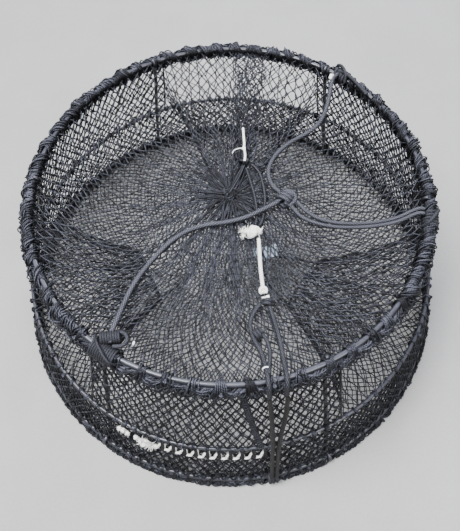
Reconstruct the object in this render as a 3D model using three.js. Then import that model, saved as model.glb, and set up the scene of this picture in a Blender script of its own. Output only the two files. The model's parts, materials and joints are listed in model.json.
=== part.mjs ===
// Folding crab trap: three hoops, six folding struts, knotted netting with three entrance tunnels,
// and its ropes. Millimetres, +Z up. The origin is on the ground under the middle of the bottom
// hoop; -Y is the front.

import * as THREE from 'three';

// ---------------------------------------------------------------- driving dimensions

const BOTTOM = { radius: 381, rod: 4.5, z: 14 };
const MID = { radius: 353, rod: 3, z: BOTTOM.z + 120.5 };
const TOP = { radius: 302, rod: 4, z: BOTTOM.z + 294.8 };

const STRUT_COUNT = 6;
const FIRST_STRUT_DEG = 54;
const STRUT_WIRE = 3.25;
const FIT = 0.9; // clearance between a strut's eye or hook and its hoop

const TUNNEL_COUNT = 3;
const FIRST_TUNNEL_DEG = 84;
const TUNNEL_HALF_DEG = 26;
const TUNNEL_MOUTH = { radius: 152, halfWidth: 50, halfHeight: 30, z: 152 };

const NET = 1.5; // thickness that stands for the netting
const WALL = { insideBottom: 3.2, insideMid: 1, outsideTop: 3 }; // how it stands to each hoop's centre line
const INSIDE_WALL = { low: 17, high: 15 }; // a tunnel's outer mouth, inside the mid and top hoops
const TUNNEL_MARGIN = { low: 9, high: 22 }; // and its height above the mid hoop and below the top hoop
const TUNNEL_SLACK = 6; // sag of a tunnel's floor
const SEAM = {
  lowDeg: 276,
  highDeg: 271.4,
  halfWidthDeg: 1.1,
  standOff: 4.5,
  marginLow: 2,
  marginHigh: 4,
};
const HEM = { bottom: 5, top: 3.5, mouth: 3 }; // radius of each bunched edge
const TOP_HEM = { outside: 6.2, below: 5.2 }; // its place from the top hoop's centre line
const EYE_SLOT = STRUT_WIRE + 2.2; // half the gap that the bottom hem leaves for a strut's eye

const PURSE = { radius: 288, hole: 18, sag: 19, steepness: 1.2 };
const PURSE_CREASES = [90, 190]; // radii where its section bends
const GATHER = { x: 4, y: 2, radius: 11, halfHeight: 9 };
const BOTTOM_NET = { inset: 15, bevel: 2 };

const BRIDLE = { single: 3.4, doubled: 2.7 }; // radius of the braided rope
const CLOSURE = 2.2; // radius of the thin cord
const COTTON = 2.6;
const TIE_DOWN = 3.2;
const TUNNEL_TIE = 1.8;
const CABLE_TIE = 1.6;
const ROT_CORD = 1.8;
const TAG = { width: 36, height: 20, thickness: 0.8, x: 53, y: -102, turn: 12, below: 3 };

const GAP = 0.5; // kept between neighbouring pieces

const HOOP_STEPS = 48;
const ROD_SIDES = 8;
const HEM_SIDES = 6;
const HEM_STEPS = 9;

// ---------------------------------------------------------------- colours

const COLOURS = {
  vinyl: { color: 0x1c1d21, roughness: 0.38, metalness: 0 },
  netting: { color: 0x23242a, roughness: 0.8, metalness: 0 },
  rope: { color: 0x34363f, roughness: 0.75, metalness: 0 },
  cotton: { color: 0xe9e6dd, roughness: 0.95, metalness: 0 },
  whitePlastic: { color: 0xf2f2f0, roughness: 0.45, metalness: 0 },
  tag: { color: 0xb9cbe0, roughness: 0.6, metalness: 0 },
};

const materials = {};
for (const [name, values] of Object.entries(COLOURS)) {
  materials[name] = new THREE.MeshStandardMaterial(values);
}

// ---------------------------------------------------------------- helpers

const trap = new THREE.Group();

function add(name, geometry, material) {
  const mesh = new THREE.Mesh(geometry, materials[material]);
  mesh.name = name;
  trap.add(mesh);
  return mesh;
}

function radians(degrees) {
  return (degrees * Math.PI) / 180;
}

function polar(radius, degrees, z) {
  const a = radians(degrees);
  return new THREE.Vector3(radius * Math.cos(a), radius * Math.sin(a), z);
}

// A point in a hoop's section, in the radial plane at `degrees`. `angle` goes round the rod, from
// 0 outward to 90 up.
function roundHoop(hoop, distance, angle, degrees) {
  const a = radians(angle);
  return polar(hoop.radius + distance * Math.cos(a), degrees, hoop.z + distance * Math.sin(a));
}

function vectors(list) {
  return list.map(([x, y, z]) => new THREE.Vector3(x, y, z));
}

function disc(radius, sides) {
  const shape = new THREE.Shape();
  for (let i = 0; i < sides; i++) {
    const a = (2 * Math.PI * i) / sides;
    const x = radius * Math.cos(a);
    const y = radius * Math.sin(a);
    if (i === 0) shape.moveTo(x, y);
    else shape.lineTo(x, y);
  }
  shape.closePath();
  return shape;
}

// A smooth curve that is stepped evenly from point to point, so that tight bends keep their steps.
class Route extends THREE.CatmullRomCurve3 {
  constructor(points) {
    super(points, false, 'centripetal');
  }

  getPointAt(u, target) {
    return this.getPoint(u, target);
  }

  getTangentAt(u, target) {
    return this.getTangent(u, target);
  }
}

// A round rod or cord along a curve, closed at both ends, with `perSpan` steps between points.
function rodAlong(points, radius, perSpan = 1, sides = ROD_SIDES) {
  const steps = (points.length - 1) * perSpan;
  const extrudePath = new Route(points);
  return new THREE.ExtrudeGeometry(disc(radius, sides), { steps, extrudePath, bevelEnabled: false });
}

function hoop({ radius, rod, z }, steps = HOOP_STEPS) {
  const geometry = new THREE.TorusGeometry(radius, rod, ROD_SIDES, steps);
  geometry.translate(0, 0, z);
  return geometry;
}

// A closed shell around the surface at(u, v), u and v from 0 to 1. With closedU it joins itself in u.
function shell(at, uSteps, vSteps, thickness, closedU) {
  const columns = closedU ? uSteps : uSteps + 1;
  const rows = vSteps + 1;
  const step = 1e-3;
  const sides = [[], []];
  for (let j = 0; j < rows; j++) {
    for (let i = 0; i < columns; i++) {
      const u = i / uSteps;
      const v = j / vSteps;
      const du = at(u + step, v).sub(at(u - step, v));
      const dv = at(u, Math.min(v + step, 1)).sub(at(u, Math.max(v - step, 0)));
      const normal = du.cross(dv).normalize().multiplyScalar(thickness / 2);
      const point = at(u, v);
      sides[0].push(point.clone().add(normal));
      sides[1].push(point.clone().sub(normal));
    }
  }
  const count = columns * rows;
  const index = [];
  const quad = (a, b, c, d) => index.push(a, b, c, a, c, d);
  const id = (i, j, side) => side * count + j * columns + (i % columns);
  for (let j = 0; j < vSteps; j++) {
    for (let i = 0; i < uSteps; i++) {
      quad(id(i, j, 0), id(i + 1, j, 0), id(i + 1, j + 1, 0), id(i, j + 1, 0));
      quad(id(i, j, 1), id(i, j + 1, 1), id(i + 1, j + 1, 1), id(i + 1, j, 1));
    }
  }
  for (let i = 0; i < uSteps; i++) {
    quad(id(i, 0, 1), id(i + 1, 0, 1), id(i + 1, 0, 0), id(i, 0, 0));
    quad(id(i, vSteps, 0), id(i + 1, vSteps, 0), id(i + 1, vSteps, 1), id(i, vSteps, 1));
  }
  if (!closedU) {
    for (let j = 0; j < vSteps; j++) {
      quad(id(0, j, 0), id(0, j + 1, 0), id(0, j + 1, 1), id(0, j, 1));
      quad(id(uSteps, j, 1), id(uSteps, j + 1, 1), id(uSteps, j + 1, 0), id(uSteps, j, 0));
    }
  }
  const positions = [...sides[0], ...sides[1]].flatMap((p) => p.toArray());
  const geometry = new THREE.BufferGeometry();
  geometry.setAttribute('position', new THREE.Float32BufferAttribute(positions, 3));
  geometry.setIndex(index);
  return geometry;
}

// A lump, such as a knot: a ball with half sizes along X, Y and Z, turned about Z, and set in place.
function lump(halfSizes, centre, turnDegrees = 0) {
  const geometry = new THREE.SphereGeometry(1, 8, 6);
  geometry.rotateX(Math.PI / 2);
  geometry.scale(...halfSizes);
  geometry.rotateZ(radians(turnDegrees));
  geometry.translate(...centre);
  return geometry;
}

function lerp(a, b, t) {
  return a + (b - a) * t;
}

// ---------------------------------------------------------------- hoops and struts

add('bottom_ring', hoop(BOTTOM), 'vinyl');
add('mid_ring', hoop(MID), 'vinyl');
add('top_ring', hoop(TOP), 'vinyl');

const strutAngles = [];
for (let i = 0; i < STRUT_COUNT; i++) {
  strutAngles.push(FIRST_STRUT_DEG + (360 / STRUT_COUNT) * i);
}

// The wire starts as an eye that closes round the bottom hoop, runs up inside the netting, and ends
// in an open hook that holds the top hoop from inside. The hook opens outward, so the wire can fold
// inward off the hoop.
const EYE = { radius: BOTTOM.rod + FIT + STRUT_WIRE, from: 480, to: 195, steps: 9 };
const HOOK = { radius: TOP.rod + FIT + STRUT_WIRE, from: 240, to: 105, steps: 4 };

function strut(degrees) {
  const path = [];
  for (let i = 0; i <= EYE.steps; i++) {
    path.push(roundHoop(BOTTOM, EYE.radius, lerp(EYE.from, EYE.to, i / EYE.steps), degrees));
  }
  const foot = path.at(-1);
  const head = roundHoop(TOP, HOOK.radius, HOOK.from, degrees);
  for (const t of [0.03, 0.33, 0.66, 0.985]) {
    path.push(foot.clone().lerp(head, t));
  }
  for (let i = 0; i <= HOOK.steps; i++) {
    path.push(roundHoop(TOP, HOOK.radius, lerp(HOOK.from, HOOK.to, i / HOOK.steps), degrees));
  }
  return rodAlong(path, STRUT_WIRE);
}

strutAngles.forEach((degrees, i) => add(`strut_${i + 1}`, strut(degrees), 'vinyl'));

// ---------------------------------------------------------------- hems

// The bottom hem lies under and outside the bottom hoop, in a length between each pair of strut eyes.
const hemRadius = BOTTOM.radius + HEM.bottom;
const hemGapDeg = (EYE_SLOT / BOTTOM.radius) * (180 / Math.PI);

function hemLength(startDeg, endDeg) {
  const points = [];
  for (let i = 0; i <= HEM_STEPS; i++) {
    points.push(polar(hemRadius, lerp(startDeg, endDeg, i / HEM_STEPS), HEM.bottom));
  }
  return rodAlong(points, HEM.bottom, 1, HEM_SIDES);
}

strutAngles.forEach((degrees, i) => {
  const next = degrees + 360 / STRUT_COUNT;
  add(`bottom_hem_${i + 1}`, hemLength(degrees + hemGapDeg, next - hemGapDeg), 'netting');
});

const topHem = { radius: TOP.radius + TOP_HEM.outside, rod: HEM.top, z: TOP.z - TOP_HEM.below };
const topHemGeometry = new THREE.TorusGeometry(topHem.radius, topHem.rod, HEM_SIDES, HOOP_STEPS);
topHemGeometry.translate(0, 0, topHem.z);
add('top_hem', topHemGeometry, 'netting');

// ---------------------------------------------------------------- netting

const bottomNetProfile = [
  new THREE.Vector2(0, 0),
  new THREE.Vector2(BOTTOM.radius - BOTTOM_NET.inset, 0),
  new THREE.Vector2(BOTTOM.radius - BOTTOM_NET.inset + BOTTOM_NET.bevel, NET),
  new THREE.Vector2(0, NET),
];
const bottomNet = new THREE.LatheGeometry(bottomNetProfile, 48);
bottomNet.rotateX(Math.PI / 2);
add('bottom_net', bottomNet, 'netting');

// The wall is straight from hoop to hoop. Panels run from `start` to `end` degrees.
function wallPanel(low, high, start, end, uSteps, closed) {
  const at = (u, v) => {
    const radius = lerp(low.radius, high.radius, v);
    return polar(radius, lerp(start, end, u), lerp(low.z, high.z, v));
  };
  return shell(at, uSteps, 1, NET, closed);
}

const eyeTop = BOTTOM.z + BOTTOM.rod + FIT + 2 * STRUT_WIRE + GAP;
const lowerWall = [
  { radius: BOTTOM.radius - WALL.insideBottom, z: eyeTop },
  { radius: MID.radius - WALL.insideMid, z: MID.z - MID.rod - 2 * GAP },
];
const upperWall = [
  { radius: MID.radius - WALL.insideMid, z: MID.z + MID.rod + 2 * GAP },
  { radius: TOP.radius + WALL.outsideTop, z: topHem.z - topHem.rod - 2 * GAP },
];

add('lower_side_net', wallPanel(...lowerWall, 0, 360, HOOP_STEPS, true), 'netting');

const tunnelAngles = [];
for (let i = 0; i < TUNNEL_COUNT; i++) {
  tunnelAngles.push(FIRST_TUNNEL_DEG + (360 / TUNNEL_COUNT) * i);
}

tunnelAngles.forEach((degrees, i) => {
  const start = degrees + TUNNEL_HALF_DEG + 1;
  const end = degrees + 360 / TUNNEL_COUNT - TUNNEL_HALF_DEG - 1;
  add(`upper_side_net_${i + 1}`, wallPanel(...upperWall, start, end, 9, false), 'netting');
});

// A strip down the front wall where the two edges of the netting are sewn together.
const seamAt = (u, v) => {
  const radius = lerp(upperWall[0].radius, upperWall[1].radius, v) + SEAM.standOff;
  const degrees = lerp(SEAM.lowDeg, SEAM.highDeg, v) + lerp(-SEAM.halfWidthDeg, SEAM.halfWidthDeg, u);
  const low = upperWall[0].z + SEAM.marginLow;
  const high = upperWall[1].z - SEAM.marginHigh;
  return polar(radius, degrees, lerp(low, high, v));
};
add('side_net_seam', shell(seamAt, 2, 4, NET, false), 'netting');

// A tunnel is a funnel of netting. Its outer mouth fills the upper wall between two struts, from the
// mid hoop to the top hoop, and its inner mouth is a low oval near the middle of the trap. An
// exponent of 1 is an oval, and a smaller one squares it.
const TUNNEL_SHAPE = { outer: 0.42, inner: 1 };

function tunnelPoint(degrees, u, v) {
  const a = -2 * Math.PI * u;
  const squareness = lerp(TUNNEL_SHAPE.outer, TUNNEL_SHAPE.inner, v);
  const side = Math.sign(Math.cos(a)) * Math.abs(Math.cos(a)) ** squareness;
  const rise = Math.sign(Math.sin(a)) * Math.abs(Math.sin(a)) ** squareness;
  const wallLow = { radius: MID.radius - INSIDE_WALL.low, z: MID.z + TUNNEL_MARGIN.low };
  const wallHigh = { radius: TOP.radius - INSIDE_WALL.high, z: TOP.z - TUNNEL_MARGIN.high };
  const t = (rise + 1) / 2;
  const wallRadius = lerp(wallLow.radius, wallHigh.radius, t);
  const outer = polar(wallRadius, side * TUNNEL_HALF_DEG, lerp(wallLow.z, wallHigh.z, t));
  const inner = new THREE.Vector3(
    TUNNEL_MOUTH.radius,
    side * TUNNEL_MOUTH.halfWidth,
    TUNNEL_MOUTH.z + rise * TUNNEL_MOUTH.halfHeight,
  );
  const point = outer.lerp(inner, v);
  point.z -= Math.sin(Math.PI * v) * TUNNEL_SLACK * (1 - t);
  return point.applyAxisAngle(new THREE.Vector3(0, 0, 1), radians(degrees));
}

tunnelAngles.forEach((degrees, i) => {
  const funnel = shell((u, v) => tunnelPoint(degrees, u, v), 16, 3, NET, true);
  add(`tunnel_net_${i + 1}`, funnel, 'netting');

  const rim = new THREE.TorusGeometry(1, HEM.mouth / TUNNEL_MOUTH.halfHeight, HEM_SIDES, 16);
  rim.scale(TUNNEL_MOUTH.halfWidth, TUNNEL_MOUTH.halfHeight, TUNNEL_MOUTH.halfHeight);
  rim.rotateX(Math.PI / 2);
  rim.rotateZ(Math.PI / 2);
  rim.translate(TUNNEL_MOUTH.radius - HEM.mouth - NET, 0, TUNNEL_MOUTH.z);
  rim.rotateZ(radians(degrees));
  add(`tunnel_mouth_cord_${i + 1}`, rim, 'netting');

  const tie = vectors([
    [TUNNEL_MOUTH.radius - 11, 46, TUNNEL_MOUTH.z],
    [112, 36, TUNNEL_MOUTH.z - 5],
    [82, 24, TUNNEL_MOUTH.z - 9],
    [64, 0, TUNNEL_MOUTH.z - 11],
    [82, -24, TUNNEL_MOUTH.z - 9],
    [112, -36, TUNNEL_MOUTH.z - 5],
    [TUNNEL_MOUTH.radius - 11, -46, TUNNEL_MOUTH.z],
  ]);
  const tieGeometry = rodAlong(tie, TUNNEL_TIE, 2);
  tieGeometry.rotateZ(radians(degrees));
  add(`tunnel_tie_${i + 1}`, tieGeometry, 'rope');
});

// The purse net hangs a little below the top hoop and is gathered at its middle.
function purseZ(radius) {
  return TOP.z - PURSE.sag * (1 - (radius / TOP.radius) ** PURSE.steepness);
}

const purseRadii = [PURSE.hole, ...PURSE_CREASES, PURSE.radius];
const purseProfile = [
  ...purseRadii.map((radius) => new THREE.Vector2(radius, purseZ(radius) - NET / 2)),
  ...purseRadii.toReversed().map((radius) => new THREE.Vector2(radius, purseZ(radius) + NET / 2)),
];
purseProfile.push(purseProfile[0].clone());
const purseNet = new THREE.LatheGeometry(purseProfile, 40);
purseNet.rotateX(Math.PI / 2);
add('top_net', purseNet, 'netting');

const gatherZ = TOP.z - PURSE.sag;
const gatherSize = [GATHER.radius, GATHER.radius, GATHER.halfHeight];
add('purse_gather', lump(gatherSize, [GATHER.x, GATHER.y, gatherZ]), 'netting');

// ---------------------------------------------------------------- bridle

const KNOT = { x: 86, y: -17, length: 15, width: 11, height: 10, turn: 20 }; // half sizes
const knotZ = purseZ(Math.hypot(KNOT.x, KNOT.y)) + NET / 2 + KNOT.height + GAP;

const knotSize = [KNOT.length, KNOT.width, KNOT.height];
add('bridle_knot', lump(knotSize, [KNOT.x, KNOT.y, knotZ], KNOT.turn), 'rope');

const bridleLegs = {
  bridle_leg_1: {
    radius: BRIDLE.single,
    points: [
      [-161, -244.5, 321],
      [-160, -230, 321],
      [-154, -208, 317],
      [-146, -180, 311],
      [-137, -156, 308],
      [-124, -132, 306],
      [-104, -104, 304],
      [-84, -82, 302.5],
      [-60, -65, 301],
      [-34, -56, 300],
      [-4, -52, 299.5],
      [24, -46, 301],
      [48, -36, 303],
      [69, -26, 305],
    ],
  },
  bridle_leg_2: {
    radius: BRIDLE.single,
    points: [
      [78, -3, 305],
      [70, 8, 303],
      [65, 26, 302],
      [67, 47, 301.5],
      [79, 69, 302.3],
      [95, 85, 303.6],
      [115, 98.5, 304.8],
      [135, 110, 306.2],
      [152, 125, 308],
      [164, 146, 310.5],
      [172, 169, 313.5],
      [178, 193, 318.5],
      [183, 209, 321],
      [192.5, 221, 321],
    ],
  },
  bridle_leg_3a: {
    radius: BRIDLE.doubled,
    points: [
      [103, -22, 305],
      [116, -39, 304],
      [133, -53.8, 305],
      [156, -62.8, 306],
      [182, -66.8, 307.5],
      [214, -67, 309],
      [245, -63, 312],
      [268, -55.7, 318],
      [280, -53, 321],
      [288.3, -54.5, 321],
    ],
  },
  bridle_leg_3b: {
    radius: BRIDLE.doubled,
    points: [
      [96, -32, 304.5],
      [108, -48, 303],
      [127, -60.4, 304],
      [152, -69.2, 305.5],
      [180, -73, 307],
      [213, -73.2, 309],
      [245, -69.4, 312],
      [268, -62.6, 318],
      [278, -60.8, 321],
      [286.6, -62.2, 321],
    ],
  },
};

for (const [name, { radius, points }] of Object.entries(bridleLegs)) {
  add(name, rodAlong(vectors(points), radius), 'rope');
}

// Each leg ends in turns of rope on top of the top hoop. Half sizes.
const HITCH = { width: 9, height: 7, outside: 1.5 };
const HITCHES = [
  { degrees: 237, length: 15 },
  { degrees: 48.8, length: 13 },
  { degrees: 347.6, length: 15 },
];

HITCHES.forEach(({ degrees, length }, i) => {
  const centre = polar(TOP.radius + HITCH.outside, degrees, TOP.z + TOP.rod + HITCH.height + GAP);
  const turns = lump([length, HITCH.width, HITCH.height], centre.toArray(), degrees + 90);
  add(`bridle_hitch_${i + 1}`, turns, 'rope');
});

// ---------------------------------------------------------------- closure line

const CLOSURE_KNOT = { halfSizes: [8, 7, 6.5], centre: [28, 60, 302] };
const COTTON_KNOT = { halfSizes: [14, 9, 8], centre: [34, -74, 306] };
const SHORT_TIE = { halfSizes: [5.5, 4, 4], centre: [45.5, -182.5, 307] };

const closureCords = {
  closure_cord_a: [
    [30, 49, 299],
    [33, 36, 298.5],
    [37, 18, 298],
    [41, -4, 297.5],
    [43, -24, 296.8],
    [43, -40, 296.4],
    [41, -52, 297],
    [39, -60, 298.5],
  ],
  closure_cord_b: [
    [38, 54, 300],
    [45, 48, 299],
    [52, 34, 298.5],
    [56, 10, 298],
    [57, -10, 297.5],
    [55, -28, 296.8],
    [52, -44, 296.6],
    [49, -53, 297.2],
    [46, -59.5, 298.5],
  ],
};
for (const [name, points] of Object.entries(closureCords)) {
  add(name, rodAlong(vectors(points), CLOSURE, 2), 'rope');
}

add('closure_knot', lump(CLOSURE_KNOT.halfSizes, CLOSURE_KNOT.centre), 'rope');
add('cotton_knot', lump(COTTON_KNOT.halfSizes, COTTON_KNOT.centre), 'cotton');

const cottonCord = vectors([
  [43, -85, 306],
  [43, -110, 304],
  [43, -133, 304.5],
  [44, -155, 305],
  [45, -174, 306],
]);
add('cotton_cord', rodAlong(cottonCord, COTTON, 2), 'cotton');

const longTie = vectors([
  [9, 69, 303],
  [17, 75, 306],
  [26, 78, 308],
  [29, 86, 309],
  [29, 102, 310],
  [28.5, 119, 312],
]);
add('cable_tie_long', rodAlong(longTie, CABLE_TIE, 2), 'whitePlastic');

add('cable_tie_short', lump(SHORT_TIE.halfSizes, SHORT_TIE.centre), 'whitePlastic');

const tag = new THREE.BoxGeometry(TAG.width, TAG.height, TAG.thickness);
tag.rotateZ(radians(TAG.turn));
tag.translate(TAG.x, TAG.y, purseZ(Math.hypot(TAG.x, TAG.y)) - TAG.below);
add('tag', tag, 'tag');

// ---------------------------------------------------------------- tie-down line

const TIE_DOWN_KNOT = { halfSizes: [14, 7, 8], centre: [60.5, -387.5, 26] };

const tieDownTop = {
  tie_down_top_a: [
    [40, -189, 307],
    [30, -203, 308],
    [24, -220, 308],
    [28, -241, 309],
    [37, -262, 311],
    [41, -283, 315],
    [42.5, -296, 319],
    [43.2, -306, 318],
    [43.8, -311.4, 313],
    [44.2, -313, 306],
    [44.5, -314.6, 299],
  ],
  tie_down_top_b: [
    [51, -190, 307],
    [56, -212, 308],
    [61, -236, 309],
    [64, -262, 312],
    [65.6, -281, 315],
    [66.5, -292, 319],
    [67, -301, 318],
    [67, -306.9, 313],
    [66.8, -308.9, 306],
    [66.6, -310.9, 299],
  ],
};
const tieDownWall = {
  tie_down_wall_a: [
    [45, -319, 290],
    [49, -331, 245],
    [52, -343, 198],
    [54, -354, 152],
    [55, -364, 106],
    [56, -376, 62],
    [56, -385, 38],
  ],
  tie_down_wall_b: [
    [69, -315.2, 290],
    [69, -327.4, 245],
    [65.5, -340.8, 198],
    [63.5, -352.5, 152],
    [63.5, -363.1, 106],
    [64, -375, 62],
    [64.5, -384, 38],
  ],
};
for (const [name, points] of Object.entries(tieDownTop)) {
  add(name, rodAlong(vectors(points), TIE_DOWN), 'rope');
}
for (const [name, points] of Object.entries(tieDownWall)) {
  add(name, rodAlong(vectors(points), TIE_DOWN, 2), 'rope');
}
add('tie_down_knot', lump(TIE_DOWN_KNOT.halfSizes, TIE_DOWN_KNOT.centre), 'rope');

// ---------------------------------------------------------------- rot cord

// White cotton laced through the netting of the front panel, one row of meshes below the mid hoop.
const rotCord = { start: 249, end: 277.4, z: MID.z - 20, swing: 4, turns: 20, standOff: 4.5 };
const rotKnot = { degrees: 246.6, below: 2, standOff: 3.5, length: 11, width: 6, height: 7 };

function rotCordRadius(z) {
  const [low, high] = lowerWall;
  return lerp(low.radius, high.radius, (z - low.z) / (high.z - low.z)) + rotCord.standOff;
}

const rotCordPoints = [];
for (let i = 0; i <= rotCord.turns; i++) {
  const z = rotCord.z + (i % 2 === 0 ? -rotCord.swing : rotCord.swing);
  const degrees = lerp(rotCord.start, rotCord.end, i / rotCord.turns);
  rotCordPoints.push(polar(rotCordRadius(z), degrees, z));
}
add('rot_cord', rodAlong(rotCordPoints, ROT_CORD, 2), 'cotton');

const rotKnotZ = rotCord.z - rotKnot.below;
const rotKnotRadius = rotCordRadius(rotKnotZ) + rotKnot.standOff;
const rotKnotCentre = polar(rotKnotRadius, rotKnot.degrees, rotKnotZ).toArray();
const rotKnotSize = [rotKnot.length, rotKnot.width, rotKnot.height];
add('rot_cord_knot', lump(rotKnotSize, rotKnotCentre, rotKnot.degrees + 90), 'cotton');

export default trap;
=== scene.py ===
"""The looks of a folding crab trap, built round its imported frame. Metres, +Z up; the front is -Y."""

import functools
import json
import math

import bpy
import numpy as np
from mathutils import Matrix, Vector
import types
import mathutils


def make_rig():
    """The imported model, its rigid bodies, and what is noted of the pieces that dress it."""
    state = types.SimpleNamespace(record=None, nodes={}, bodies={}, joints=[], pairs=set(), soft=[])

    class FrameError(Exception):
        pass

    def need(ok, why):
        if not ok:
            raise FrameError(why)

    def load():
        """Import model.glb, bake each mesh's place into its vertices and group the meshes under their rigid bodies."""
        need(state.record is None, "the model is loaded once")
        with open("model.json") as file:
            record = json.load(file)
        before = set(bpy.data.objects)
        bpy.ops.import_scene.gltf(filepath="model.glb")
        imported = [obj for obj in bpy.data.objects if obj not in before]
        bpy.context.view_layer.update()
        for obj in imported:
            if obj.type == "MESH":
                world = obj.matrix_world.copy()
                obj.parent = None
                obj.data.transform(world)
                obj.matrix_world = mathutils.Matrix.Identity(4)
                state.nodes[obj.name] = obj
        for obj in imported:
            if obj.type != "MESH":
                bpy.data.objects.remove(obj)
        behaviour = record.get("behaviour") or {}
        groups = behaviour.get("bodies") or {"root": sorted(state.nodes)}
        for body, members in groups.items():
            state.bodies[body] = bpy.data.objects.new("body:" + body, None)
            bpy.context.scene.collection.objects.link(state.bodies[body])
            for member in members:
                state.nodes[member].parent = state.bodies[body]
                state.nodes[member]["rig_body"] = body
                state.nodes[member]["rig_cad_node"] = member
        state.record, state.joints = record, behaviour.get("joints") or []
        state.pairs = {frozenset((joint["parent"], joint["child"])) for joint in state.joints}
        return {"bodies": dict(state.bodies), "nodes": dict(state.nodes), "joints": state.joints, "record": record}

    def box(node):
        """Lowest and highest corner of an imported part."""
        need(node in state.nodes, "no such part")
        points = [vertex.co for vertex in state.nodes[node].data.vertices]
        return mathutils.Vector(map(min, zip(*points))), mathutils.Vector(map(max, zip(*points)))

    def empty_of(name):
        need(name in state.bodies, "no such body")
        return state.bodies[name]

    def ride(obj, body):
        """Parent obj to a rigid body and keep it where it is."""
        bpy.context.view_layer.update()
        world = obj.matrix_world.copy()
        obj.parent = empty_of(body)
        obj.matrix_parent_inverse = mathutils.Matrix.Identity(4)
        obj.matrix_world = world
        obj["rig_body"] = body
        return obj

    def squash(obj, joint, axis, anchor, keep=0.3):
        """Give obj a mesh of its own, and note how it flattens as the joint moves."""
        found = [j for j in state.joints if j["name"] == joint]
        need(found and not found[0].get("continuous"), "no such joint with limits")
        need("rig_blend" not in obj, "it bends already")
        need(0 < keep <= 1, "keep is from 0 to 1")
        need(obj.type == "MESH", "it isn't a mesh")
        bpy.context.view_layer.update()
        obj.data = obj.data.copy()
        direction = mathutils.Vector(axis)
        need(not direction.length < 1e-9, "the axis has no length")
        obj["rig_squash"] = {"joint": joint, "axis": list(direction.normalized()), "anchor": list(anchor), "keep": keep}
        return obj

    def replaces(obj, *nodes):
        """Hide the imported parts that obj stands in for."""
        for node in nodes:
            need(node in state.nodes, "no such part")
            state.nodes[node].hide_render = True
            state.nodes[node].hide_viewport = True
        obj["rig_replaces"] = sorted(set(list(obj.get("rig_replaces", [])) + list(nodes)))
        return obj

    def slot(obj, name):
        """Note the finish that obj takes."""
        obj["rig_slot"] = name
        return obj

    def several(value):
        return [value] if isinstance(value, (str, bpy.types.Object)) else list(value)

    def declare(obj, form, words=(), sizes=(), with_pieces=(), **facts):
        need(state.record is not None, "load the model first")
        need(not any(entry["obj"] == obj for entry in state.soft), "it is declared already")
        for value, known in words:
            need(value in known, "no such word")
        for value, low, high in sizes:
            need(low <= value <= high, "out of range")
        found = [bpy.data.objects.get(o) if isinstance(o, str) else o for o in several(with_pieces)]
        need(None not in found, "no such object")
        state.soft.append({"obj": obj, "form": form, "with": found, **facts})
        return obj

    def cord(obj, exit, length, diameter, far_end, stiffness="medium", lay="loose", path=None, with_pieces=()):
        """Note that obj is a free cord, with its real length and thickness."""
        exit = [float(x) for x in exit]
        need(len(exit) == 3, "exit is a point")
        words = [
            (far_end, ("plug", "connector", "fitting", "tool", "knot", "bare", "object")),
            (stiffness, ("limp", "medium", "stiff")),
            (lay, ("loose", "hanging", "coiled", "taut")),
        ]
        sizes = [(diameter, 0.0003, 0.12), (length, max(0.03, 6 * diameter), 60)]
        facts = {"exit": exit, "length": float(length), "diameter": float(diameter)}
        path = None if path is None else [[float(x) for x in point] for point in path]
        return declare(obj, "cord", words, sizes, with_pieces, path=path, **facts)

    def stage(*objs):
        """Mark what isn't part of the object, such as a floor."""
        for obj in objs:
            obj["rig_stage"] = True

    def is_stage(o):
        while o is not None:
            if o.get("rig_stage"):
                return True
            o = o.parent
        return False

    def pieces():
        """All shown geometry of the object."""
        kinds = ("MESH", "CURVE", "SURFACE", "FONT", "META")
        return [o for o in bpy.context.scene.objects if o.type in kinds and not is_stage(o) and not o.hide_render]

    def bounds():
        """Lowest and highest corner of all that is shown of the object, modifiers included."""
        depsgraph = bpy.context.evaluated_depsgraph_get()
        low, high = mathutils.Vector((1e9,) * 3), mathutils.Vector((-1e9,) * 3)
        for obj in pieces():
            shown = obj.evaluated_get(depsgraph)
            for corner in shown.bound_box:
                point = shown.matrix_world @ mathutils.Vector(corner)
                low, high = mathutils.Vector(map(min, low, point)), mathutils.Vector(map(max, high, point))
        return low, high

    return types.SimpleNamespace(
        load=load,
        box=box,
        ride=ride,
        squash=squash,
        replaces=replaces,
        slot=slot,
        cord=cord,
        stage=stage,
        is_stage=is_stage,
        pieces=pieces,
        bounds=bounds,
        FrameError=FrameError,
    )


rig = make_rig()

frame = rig.load()
cad_box = [list(corner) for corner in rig.bounds()]

TAU = 2 * math.pi
MM = 0.001
UP = (0, 0, 1)


# ---------------------------------------------------------------- the frame's sizes


class Ring:
    """A hoop of round rod, as the frame has it."""

    def __init__(self, node):
        low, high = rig.box(node)
        self.rod = (high.z - low.z) / 2
        self.radius = (high.x - low.x) / 2 - self.rod
        self.z = (high.z + low.z) / 2


BOTTOM = Ring("bottom_ring")
MID = Ring("mid_ring")
TOP = Ring("top_ring")
LOWER_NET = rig.box("lower_side_net")

BIGHT_STRANDS = 10  # in each bight of the netting's edge outside the top hoop
BUNDLE_STRANDS = 16  # in the netting's edge that is wound round the top hoop
GATHER_PLEATS = 80
GATHER_TURNS = 46
BUNCH_STRANDS = 14
STRUT_ANGLES = [math.radians(54 + 60 * i) for i in range(6)]
TUNNEL_ANGLES = [math.radians(84 + 120 * i) for i in range(3)]
TUNNEL_HALF = math.radians(26.5)
FOLD = {"joint": "top_ring_drop", "axis": (0, 0, 1), "anchor": (0, 0, BOTTOM.z), "keep": 0.12}

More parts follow.
